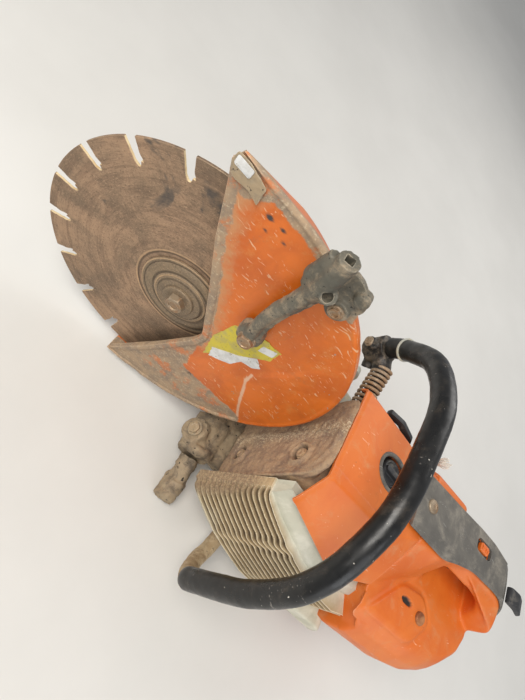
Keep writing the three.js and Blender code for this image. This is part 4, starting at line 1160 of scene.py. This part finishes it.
def housing_skirt():
    """The smooth pale panel under the ribs' rear end."""
    side = rounded([(-322, -66), (-432, -62), (-436, -100), (-400, -112), (-330, -104)], 16, 6, 4)
    obj = cast("housing_skirt", [prism(side, 96, 154)], 1.8, 9, 0.4, 9.0, 23)
    p = coords(obj)
    p[:, 1] = 96 + (p[:, 1] - 96) * np.interp(p[:, 0], [-436, -370, -335], [1.10, 1.08, 0.68])
    p[:, 1] -= 10 * step(p[:, 2], -84, -112) * (p[:, 1] > 120)
    set_coords(obj, p)
    paint(obj, "clean", np.full(len(p), 0.7))
    present(obj, "root", CREAM, sharp=60)


def paint_by_place(obj, points, values):
    """Attributes for vertices that were welded, matched to the raw points by place."""
    keys = {tuple(np.round(p, 2)): i for i, p in enumerate(points)}
    index = [keys.get(tuple(np.round(p, 2)), 0) for p in coords(obj)]
    for name, given in values.items():
        paint(obj, name, np.asarray(given)[index])


# ------------------------------------------------------------------ muffler and front foot
def muffler():
    """A heat-stained box with a rolled front edge, two deep bolt pockets and caked sand."""
    rows = []
    for x, inset, top in (
        (-250, 4, 60), (-246, 0, 60), (-228, 0, 61), (-222, 0, 70), (-218.5, 0, 83), (-214, 0, 89),
        (-210.5, 1.5, 89), (-208.8, 4, 89), (-208.2, 8, 89), (-208.2, 16, 89),
    ):
        outline = [
            (80 - inset, -124 + inset), (80 - inset, top - 17), (66 - inset, top - inset),
            (-24 + inset, top - inset), (-24 + inset, -124 + inset),
        ]
        rows.append([(x, y, z) for y, z in rounded(outline, 14, 7, 5)])
    lip_path = [(-209.5, 79, -116), (-210, 78, -60), (-209.5, 80, 0), (-210, 78, 58), (-210, 66, 80)]
    lip = tube(spline(lip_path, 60), 2.6, 12)
    ledge = tube(spline([(-211, 20, 82), (-211.5, 50, 78), (-212, 70, 62)], 30), 5.0, 14)
    obj = cast("muffler_box", [skin(rows), lip, ledge], 1.7, 4)
    p = coords(obj)
    front = step(p[:, 0], -214, -209.5)
    pocket_shade = np.zeros(len(p))
    for y, z in ((42, -92), (51, 32)):
        r = np.hypot((p[:, 1] - y), (p[:, 2] - z) * 0.86)
        p[:, 0] -= front * (7.5 * step(r, 10.5, 8.0) - 2.2 * np.exp(-((r - 12.6) / 1.8) ** 2))
        p[:, 0] -= front * 1.4 * np.exp(-((r - 18) / 3.0) ** 2)
        pocket_shade = np.maximum(pocket_shade, front * step(r, 11, 8))
    p[:, 0] -= front * (1.2 + 0.8 * lumps(p, 30.0, 31) + 0.6 * lumps(p, 5.0, 32))
    p[:, 0] -= front * 1.8 * np.exp(-((p[:, 1] - 12 - 0.08 * p[:, 2]) / 5) ** 2)
    set_coords(obj, p)
    roughen(obj, 0.7, 8.0, 33)
    # painted shade in the two bolt pockets
    paint(obj, "dark", pocket_shade * 0.9)
    paint(obj, "sand", np.exp(-((p[:, 1] - 20) / 16) ** 2))
    present(obj, "root", BURNT, ["muffler"], 60)
    for name, y, z in (("lower", 42, -92), ("upper", 51, 32)):
        hex_bolt(f"muffler_screw_{name}", (-213.5, y, z), (1, 0, 0), 5.6, 4.0, "root",
                 f"muffler_bolt_{name}", 1.4, 7.2, BURNT)


def front_feet():
    """The caked bracket under the muffler, and the foot that stands out of it to the left."""
    rows = []
    for x, grow in ((-246, -6), (-240, 0), (-186, 0), (-176, -5)):
        box = [(-92, -168 - grow), (58 + grow, -168 - grow), (58 + grow, -134 + grow), (-92, -134 + grow)]
        rows.append([(x, y, z) for y, z in rounded(box, 9, 5, 6)])
    nose = prism(rounded([(-200, -170), (-162, -174), (-150, -152), (-166, -128), (-205, -132)], 12), 6, 66)
    side = prism(rounded([(-234, -140), (-188, -140), (-198, -194), (-226, -194)], 8), -91, -63)
    knuckle = lathe([(0, 0), (17, 0), (21, 6), (19, 15), (0, 17)], (-166, 40, -146), (0.8, 0.1, 0.6), 40)
    ear = tube(spline([(-190, 58, -136), (-176, 64, -132), (-164, 62, -140)], 20), 9, 18)
    obj = cast("front_bracket_cast", [skin(rows), nose, side, knuckle, ear], 1.7, 4, 1.5, 13.0, 41)
    present(obj, "root", FOOT, ["front_foot_bracket"], 60)
    shank = tube(spline([(-182, 66, -158), (-186, 84, -165), (-190, 100, -172), (-191, 114, -176)], 24),
                 [15] * 8 + [14] * 8 + [16] * 8, 24)
    sole = [(-209, -188), (-203, -194), (-182, -194), (-173, -182), (-180, -165), (-202, -165)]
    pad = prism(rounded(sole, 6), 92, 127)
    toe = lathe([(0, 0), (12, 0), (15, 6), (13, 14), (0, 16)], (-192, 114, -178), (0, 1, 0), 32)
    obj = cast("front_foot_cast", [shank, pad, toe], 1.4, 4, 1.2, 10.0, 42)
    present(obj, "root", FOOT, ["front_foot"], 60)
    hex_bolt("front_foot_screw", (-154, 42, -133), (0.78, 0.2, 0.6), 7.4, 6.5, "root",
             "front_foot_bolt", 1.0, 10.5, TIP_STEEL)


# ------------------------------------------------------------------ orange covers
RECESS = (-312.0, 5.0, 26.0, 21.0)


def shroud_top(x):
    """Height of the shroud's flat top."""
    return float(np.interp(x, [-394, -330, -224], [70, 71.8, 80]))


def shroud():
    """The top cover: a thin folded sheet with a soft crease and an oval well for the filter's knob."""
    rows = []
    for x in np.linspace(-224, -394, 140):
        top = shroud_top(x)
        crease = np.interp(x, [-394, -345, -330, -224], [41, 64, 69, 75])
        low_y = np.interp(x, [-394, -345, -330, -224], [103, 123, 124, 104])
        low_z = np.interp(x, [-394, -345, -330, -224], [19, 12, 13, 40])
        fold_y = crease + (low_y - crease) * 0.84 + 0.9
        fold_z = top + (low_z - top) * 0.84 + 0.9
        section = even([(-54, top - 12), (-50, top), (crease, top), (fold_y, fold_z), (low_y, low_z)], 150)
        rows.append([(x, y, z) for y, z in smoothed(section, 5)])
    grid = np.array(rows)
    cx, cy, rx, ry = RECESS
    away = np.hypot((grid[..., 0] - cx) / rx, (grid[..., 1] - cy) / ry)
    flat = grid[..., 1] < 60
    grid[..., 2] -= 9.0 * step(away, 1.02, 0.90) * flat
    swell = np.exp(-(((grid[..., 0] + 300) / 60) ** 2 + ((grid[..., 1] - 10) / 45) ** 2)) - 1
    grid[..., 2] += 0.8 * swell * flat
    grid[..., 2] -= step(grid[..., 0], -232, -225) * 1.6
    obj = new_object("shroud_cover", skin(grid, around=False), 0.02)
    face_along(obj, 2)
    thicken(obj, 2.6)
    p = coords(obj)
    well = np.hypot((p[:, 0] - cx) / rx, (p[:, 1] - cy) / ry)
    # painted shade on the floor of the filter well
    paint(obj, "dark", step(well, 1.0, 0.94) * (p[:, 1] < 60))
    present(obj, "root", ORANGE, ["shroud"], 50)
    turns = np.linspace(0, 2 * np.pi, 97)
    lean = (shroud_top(-300) - shroud_top(-324)) / 24
    level = shroud_top(cx) - 0.6
    ring = [(cx + rx * math.cos(t), cy + ry * math.sin(t), level + lean * rx * math.cos(t)) for t in turns]
    piped("filter_well_rim", ring, 2.7, 16, GREY)


def filter_knob():
    place = (-312, 5, shroud_top(-312) - 8.4)
    axis = (-0.08, 0, 1)
    body = lathe([(0, 0), (17, 0), (17.4, 3.5), (16, 6.2), (13.8, 6.6), (13, 4.6), (0, 4.2)], place, axis, 64)
    bar = rounded([(-326, 1.6), (-298, 1.6), (-298, 8.4), (-326, 8.4)], 3, 5, 3)
    grip = prism(bar, place[2] + 3, place[2] + 11, "z")
    obj = cast("filter_knob_moulded", [body, grip], 0.8, 3, 0.1, 4.0, 51)
    present(obj, "filter_knob", DARK_PLASTIC, ["filter_lock"], 40)


def belly_top(x, y):
    """Height of the rear housing's upper surface: flat under the plate, then a flank down to the mound."""
    low = np.interp(y, [-92, -70, -44, 40, 118, 130, 150], [0, 8, 11, 13, 16, 10, -16])
    plate = np.interp(x, [-520, -500, -465, -441, -399], [12, 13, 25, 36, 38])
    fold = np.interp(x, [-520, -500, -469, -426, -399], [34, 38, 51, 80, 99])
    high = np.interp(y, [-92, -64, -56, 200], [0, 60, 70.4, 70.4])
    flank = low + (high - low) * (1 - np.clip((y - plate) / (fold - plate), 0, 1))
    wall = step(x, -492, -466)
    return low + (np.maximum(flank, low) - low) * wall


def rear_housing():
    """Fuel tank shell, loop grip and the flowing surface between them, moulded as one piece."""
    rows = []
    for x in np.concatenate([np.linspace(-395.5, -560, 72), np.linspace(-563, -607, 22)]):
        right = np.interp(x, [-607, -595, -574, -545], [0.52, 0.74, 0.90, 1])
        left = np.interp(x, [-607, -596, -574, -545, -509, -399], [0.48, 0.68, 0.84, 0.93, 0.98, 1.02])
        low = np.interp(x, [-607, -595, -574, -545], [-50, -72, -94, -111.6])
        ys = np.linspace(-92, 132, 66)
        top = [(y * (right if y < 0 else left), belly_top(x, y) + 1.5 * step(x, -560, -600)) for y in ys]
        squash = low / -111.6
        side = [(142 * left, -4), (151 * left, -24 * squash), (148 * left, -54 * squash),
                (133 * left, -82 * squash), (98 * left, -103 * squash), (62 * left, low)]
        under = [(-40 * right, low), (-66 * right, -109 * squash), (-86 * right, -84 * squash),
                 (-97 * right, -56 * squash), (-96 * right, -22 * squash)]
        loop = even(np.vstack([top, side, under, top[:1]]), 181)[:-1]
        ring = []
        for y, z in loop:
            front = -425.5 - 0.2 * (z - 1) if z < 3.5 else -395.5
            ring.append((min(x, front) if y > 43 else x, y, z))
        rows.append(ring)
    grip_side = [
        (-436, 70.6), (-575, 70.6), (-593, 65), (-606, 50), (-607.5, 8), (-590, 2), (-583, 26), (-574, 42),
        (-556, 49.5), (-470, 50), (-440, 40),
    ]
    grip = new_object("grip_blank", prism(rounded(grip_side, 12, 7, 6), -46, 36))
    bevel(grip, 6.5, 4, 40)
    p = coords(grip)
    high_edge = np.interp(p[:, 0], [-607, -592, -570, -500, -460, -440], [30, 18, 13, 13, 22, 33])
    low_edge = np.interp(p[:, 0], [-607, -592, -570, -540, -480, -440], [52, 42, 28, 24, 26, 38])
    edge = low_edge + (high_edge - low_edge) * step(p[:, 2], 48, 70)
    p[:, 1] = np.where(p[:, 1] > 0, p[:, 1] / 36 * edge, p[:, 1])
    handle = (p, [tuple(f.vertices) for f in grip.data.polygons])
    bpy.data.objects.remove(grip)
    obj = cast("rear_housing_moulded", [skin(rows), handle], 1.8, 16)
    cut(obj, new_object("trigger_pocket", prism([(-562, 42), (-470, 42), (-470, 66), (-562, 66)], -10, 10)))
    p = coords(obj)
    mound_edge = rounded([(-455, 66), (-502, 58), (-524, 84), (-494, 126), (-400, 130)], 12, 6, 3)
    mound = field(p[:, 0], p[:, 1], mound_edge)
    above = p[:, 2] > -4
    outer = p[:, 1] > np.interp(p[:, 0], [-500, -469, -426], [40, 54, 84])
    p[:, 2] += above * outer * (3.0 * step(mound, 1.0, -2.5))
    pit = np.hypot((p[:, 0] + 470) / 12, (p[:, 1] - 82) / 5)
    p[:, 2] -= above * 3.2 * step(pit, 1.1, 0.7) * outer
    p[:, 2] -= above * outer * np.exp(-((mound - 5) / 3) ** 2)
    low_line = np.interp(p[:, 0], [-560, -420], [-34, -30])
    p[:, 1] -= (p[:, 1] > 100) * 1.5 * np.exp(-((p[:, 2] - low_line) / 2.0) ** 2)
    p[:, 2] += lumps(p, 70.0, 61) * 0.35 * above
    set_coords(obj, p)
    # painted shade in the small pit
    paint(obj, "dark", step(pit, 1.0, 0.8) * above * outer)
    present(obj, "root", ORANGE, ["rear_housing"], 60)
    cap = [(0, -2), (8.5, -2), (8.5, 1.2), (7.6, 2.6), (5.2, 3.3), (3.0, 2.6), (0, 2.4)]
    turned("side_screw_cap", cap, "root", BROWN_CAP, (), (-500, 88, 18.6), (0.05, 0.1, 1))


def handle_cover():
    """The grey plate over the grip, which bends down round its rear end."""
    path = spline([(-366.5, 75.8), (-400, 76), (-558, 76), (-575, 75), (-592, 69.5), (-604.5, 59),
                   (-611.5, 44), (-614.5, 28), (-612, 14)], 150)
    tangent = directions(path)
    out = np.stack([-tangent[:, 1], tangent[:, 0]], 1)
    out *= np.sign(out[10, 1])
    along = travel(path)
    left = np.interp(along, [0, 74, 100, 136, 190, 224, 244, 256, 272, 292],
                     [37, 37, 26, 15, 12, 15, 22, 30, 38, 38])
    left = smoothed(left[:, None], 11)[:, 0]
    right = np.interp(along, [0, 15, 88, 136, 170, 222, 250, 292], [-40, -42, -45, -48, -48, -40, -36, -32])
    round_end = step(along, 190, 245)
    rows = []
    for (x, z), (nx, nz), y0, y1, bow in zip(path, out, right, left, round_end):
        row = []
        for t in np.linspace(0, 1, 60):
            y = y0 + (y1 - y0) * t
            edge = min(t, 1 - t) * (y1 - y0)
            drop = 2.2 * (1 - step(edge, 0, 3.2)) ** 2 + 0.5 * math.exp(-((edge - 5.5) / 0.9) ** 2)
            row.append((x - nx * drop + bow * 12 * ((y + 6) / 50) ** 2, y, z - nz * drop))
        rows.append(row)
    obj = new_object("handle_cover_plate", skin(rows, around=False), 0.02)
    face_along(obj, 2)
    p = coords(obj)
    crease = np.abs(p[:, 0] + 462 + 0.5 * (p[:, 1] + 2))
    p[:, 2] -= 0.5 * np.exp(-(crease / 1.1) ** 2) * (p[:, 1] > 0) * (p[:, 0] > -500)
    boss = np.hypot(p[:, 0] + 392, p[:, 1] + 6)
    p[:, 2] -= 0.5 * np.exp(-((boss - 11) / 1.2) ** 2)
    set_coords(obj, p)
    thicken(obj, 4.2)
    bevel(obj, 0.5, 2, 50)
    cutters = [
        prism(rounded([(-532, -33.5), (-496, -33.5), (-496, -14.5), (-532, -14.5)], 8.5, 8, 3), 60, 90, "z"),
        prism([(-624, -14), (-590, -14), (-590, 8), (-624, 8)], 54, 90, "z"),
    ]
    for raw in cutters:
        cut(obj, new_object("cutter", raw))
    present(obj, "root", GREY, ["handle_cover"], 35)
    turns = np.linspace(0, 2 * np.pi, 65)
    for index, r in enumerate((8.0, 4.5)):
        ring = [(-460 + r * math.cos(t), -14 + r * math.sin(t), 75.9) for t in turns]
        piped(f"cover_ring_{index + 1}", ring, 0.55, 8, GREY)
    dome = [
        (0, 75.5), (9.2, 75.5), (9.2, 76.4), (8.6, 77.6), (6.5, 78.7), (3.4, 79.0), (2.6, 78.2), (0, 78.0),
    ]
    turned("cover_screw_turned", dome, "root", BRIGHT, ["handle_cover_screw"],
           (-392, -6, 0), (0, 0, 1))


def stop_switch():
    """The ribbed slide in the cover's window, and the dark floor under it."""
    slide = rounded([(-523, -30.5), (-505, -30.5), (-505, -17.5), (-523, -17.5)], 4, 6, 3)
    base = prism(slide, 71.3, 76.5, "z")
    ribs = []
    for x in (-520, -516, -512, -508):
        ribs.append(tube([(x, -29.5, 76.6), (x, -24, 78.4), (x, -18.5, 76.6)], 1.3, 12))
    obj = cast("stop_switch_moulded", [base] + ribs, 0.6, 2)
    present(obj, "switch", ORANGE, ["stop_switch"])
    well = prism(rounded([(-531, -33), (-497, -33), (-497, -15), (-531, -15)], 8, 8, 3), 68.5, 71.0, "z")
    obj = new_object("stop_switch_well", well)
    bevel(obj, 0.4, 1)
    present(obj, "root", DARK_PLASTIC)


# ------------------------------------------------------------------ handlebar, clamp and spring
ARCH = [
    (-242, 200, -100), (-240, 201.5, -88), (-242, 201.3, -40), (-245, 199.5, 9), (-246, 190, 62),
    (-245, 177, 96), (-243, 151, 129), (-241, 101, 161), (-240, 29, 173), (-240, -28, 172), (-239, -88, 146),
    (-236, -122, 100), (-231, -130, 76),
]
LOWER_TUBE = [
    (-242.3, 199.7, -101), (-243.6, 198.4, -108), (-251, 188, -125), (-264, 168, -145), (-280, 140, -159),
    (-290, 96, -164), (-292, 20, -165), (-292, -50, -165),
]


def handlebar():
    """The rubber-covered arch, the bare tube below it and the pale collar near the clamp."""
    count = 260
    path = spline(ARCH, count)
    radius = np.full(count, 13.6)
    radius[:3] = (9, 12, 13.2)
    radius += 0.25 * np.array([noise.noise(Vector((i / 9, 0, 3))) for i in range(count)])
    obj = new_object("handlebar_grip", tube(path, radius, 48))
    roughen(obj, 0.28, 14.0, 71)
    present(obj, "root", RUBBER, ["handlebar"], 60)
    obj = new_object("handlebar_tube", tube(spline(LOWER_TUBE, 110), 10.6, 32))
    roughen(obj, 0.5, 9.0, 72)
    present(obj, "root", SANDY_TUBE, ["handlebar_lower"], 60)
    tangent = path[-12] - path[-10]
    collar = [(13.0, -1.4), (15.0, -1.2), (15.3, 0), (15.0, 1.2), (13.0, 1.4)]
    turned("handlebar_collar", collar, "root", PALE_ALLOY, (), path[-11], tangent, 56)


def clamp():
    """The black casting that holds the arch's right end."""
    parts = [
        tube([(-229.6, -130.6, 72), (-228, -131, 56), (-226, -131, 40)], [16.6, 16.9, 16.2], 32),
        tube(spline([(-230, -126, 60), (-238, -118, 60), (-246, -108, 56)], 16), 12.8, 24),
        tube([(-222, -128, 60), (-206.5, -122.4, 60)], 8.6, 24),
        tube(spline([(-227, -131, 48), (-234, -124, 40), (-240, -114, 34)], 16), 8.5, 20),
        lathe([(0, 0), (14.5, 0), (14.8, 4), (12, 7), (0, 8)], (-232, -127, 66), (0.3, 0.5, 0.8), 36),
    ]
    obj = cast("handlebar_clamp_cast", parts, 1.2, 5, 0.6, 7.0, 81)
    present(obj, "root", CLAMP_BLACK, ["handlebar_clamp"], 60)
    hex_bolt("clamp_screw", (-206.4, -122.4, 60), (1, 0.3, 0), 5.2, 4.0, "root",
             "clamp_bolt", 1.0, 7)


def spring():
    """The anti-vibration spring's coil and the rod inside it."""
    start = np.array((-246, -112, 60))
    end = np.array((-254, -34, 32))
    turns = 13
    count = turns * 28
    axis = (end - start) / np.linalg.norm(end - start)
    side = np.cross(axis, (1, 0, 0))
    side /= np.linalg.norm(side)
    up = np.cross(axis, side)
    t = np.linspace(0, 1, count)
    angle = 2 * np.pi * turns * t
    swell = 11.2 + 0.3 * np.sin(5 * t)
    path = start + np.outer(t, end - start) + swell[:, None] * (
        np.outer(np.cos(angle), side) + np.outer(np.sin(angle), up))
    piped("av_spring_coil", path, 2.2, 12, RUST, ["av_spring"])
    piped("av_spring_core", [start, (start + end) / 2, end], 6.8, 20, DARK_STEEL)


def rope_tuft():
    """The frayed end of the starter rope: a short twisted core that opens into loose strands."""
    raws = [tube(spline([(-376, -64, 62), (-378, -62, 70), (-379, -61.5, 78)], 12), 3.6, 14)]
    for i in range(26):
        turn = i * 2.399
        spread = 2.4 + 5.6 * ((i * 37) % 11) / 11
        rise = 84 + 9 * ((i * 53) % 7) / 7
        dx, dy = spread * math.cos(turn), spread * math.sin(turn)
        root = (-378 + dx * 0.3, -62 + dy * 0.3, 74)
        mid = (-379 + dx, -61 + dy, (74 + rise) / 2 + 2)
        raws.append(tube(spline([root, mid, (-380 + dx * 1.1, -60.5 + dy * 0.9, rise)], 10), 0.85, 7))
    obj = new_object("rope_tuft", together(*raws))
    present(obj, "root", ROPE, ["rope_end"])


# Node, width of its rounded edges, finish in place of its slot's own, and steps across each edge.
SOFTENED = (
    ("belt_cover", 2.5, PALE_ALLOY, 3), ("arm", 1.5, None, 2), ("fuel_tank", 4.0, GREY, 4),
    ("fuel_cap", 1.5, DARK_PLASTIC, 3), ("throttle_trigger", 1.6, DARK_PLASTIC, 3),
    ("trigger_lockout", 1.6, DARK_PLASTIC, 3), ("choke_lever", 1.4, DARK_PLASTIC, 3),
    ("driven_pulley", 0.6, None, 2), ("v_belt", 0.8, DARK_PLASTIC, 2),
    ("belt_cover_screw_front", 0.7, None, 2), ("belt_cover_screw_rear", 0.7, None, 2),
)


# ------------------------------------------------------------------ camera, light and floor
def camera():
    """The camera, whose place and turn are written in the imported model's metres."""
    data = bpy.data.cameras.new("camera")
    data.lens = 24.94
    data.sensor_width = 36.0
    obj = add("camera", data)
    right = Vector((-0.6375, -0.46, 0.617)).normalized()
    up = Vector((0.703, -0.676, 0.221))
    back = right.cross(up).normalized()
    up = back.cross(right).normalized()
    turn = Matrix((right, up, back)).transposed()
    obj.matrix_world = Matrix.Translation((0.29395, 0.27247, 0.63765)) @ turn.to_4x4()
    bpy.context.scene.camera = obj


def lamp(name, place, aim, size, power, colour):
    """A square lamp that looks at a point."""
    data = bpy.data.lights.new(name, "AREA")
    data.size = size
    data.energy = power
    data.color = colour
    obj = add(name, data)
    obj.location = place
    obj.rotation_euler = (Vector(aim) - Vector(place)).to_track_quat("-Z", "Y").to_euler()


def studio():
    """Three soft lamps, a pale sky and a pale floor."""
    lamp("key", (0.9, 0.55, 1.5), (0, 0, 0.15), 0.9, 25, (1.0, 0.96, 0.90))
    lamp("fill", (-1.0, 1.3, 0.9), (-0.1, 0, 0.15), 1.4, 10, (0.95, 0.97, 1.0))
    lamp("back", (-0.6, -1.3, 1.3), (0, 0, 0.15), 1.2, 10, (1.0, 0.98, 0.95))
    world = bpy.data.worlds.new("studio")
    world.use_nodes = True
    world.node_tree.nodes["Background"].inputs[0].default_value = (0.9, 0.92, 0.95, 1)
    world.node_tree.nodes["Background"].inputs[1].default_value = 0.40
    bpy.context.scene.world = world
    side = np.linspace(-4000, 4000, 9)
    grid = [[(x, y, -HUB.z * 1000 - 0.2) for y in side] for x in side]
    floor = new_object("floor", skin(grid, around=False))
    f = Finish("floor_pale")
    rough = f.ramp(f.noise(8.0), 0.3, 0.7, 0.75, 0.85)
    f.finish(f.tones(f.noise(3.0), 0.3, 0.7, "d9d7d2", "dfddd8"), rough)
    floor.data.materials.append(f.material)
    bpy.context.scene.view_settings.view_transform = "Standard"


def wheel_side():
    wheel()
    flange()
    hex_bolt("blade_bolt_head", (0, 11.3, 0), (0, 1, 0), 10, 8, "wheel", "blade_bolt", 1.2)
    guard_shell()
    guard_labels()
    guard_fittings()
    guard_handle()


def engine_side():
    ribbed_housing()
    housing_skirt()
    muffler()
    front_feet()
    shroud()
    filter_knob()
    rear_housing()
    handle_cover()
    stop_switch()
    handlebar()
    clamp()
    spring()
    rope_tuft()
    for node, width, material, segments in SOFTENED:
        soften(node, width, material, segments)


camera()
studio()
dress_nodes()
wheel_side()
engine_side()
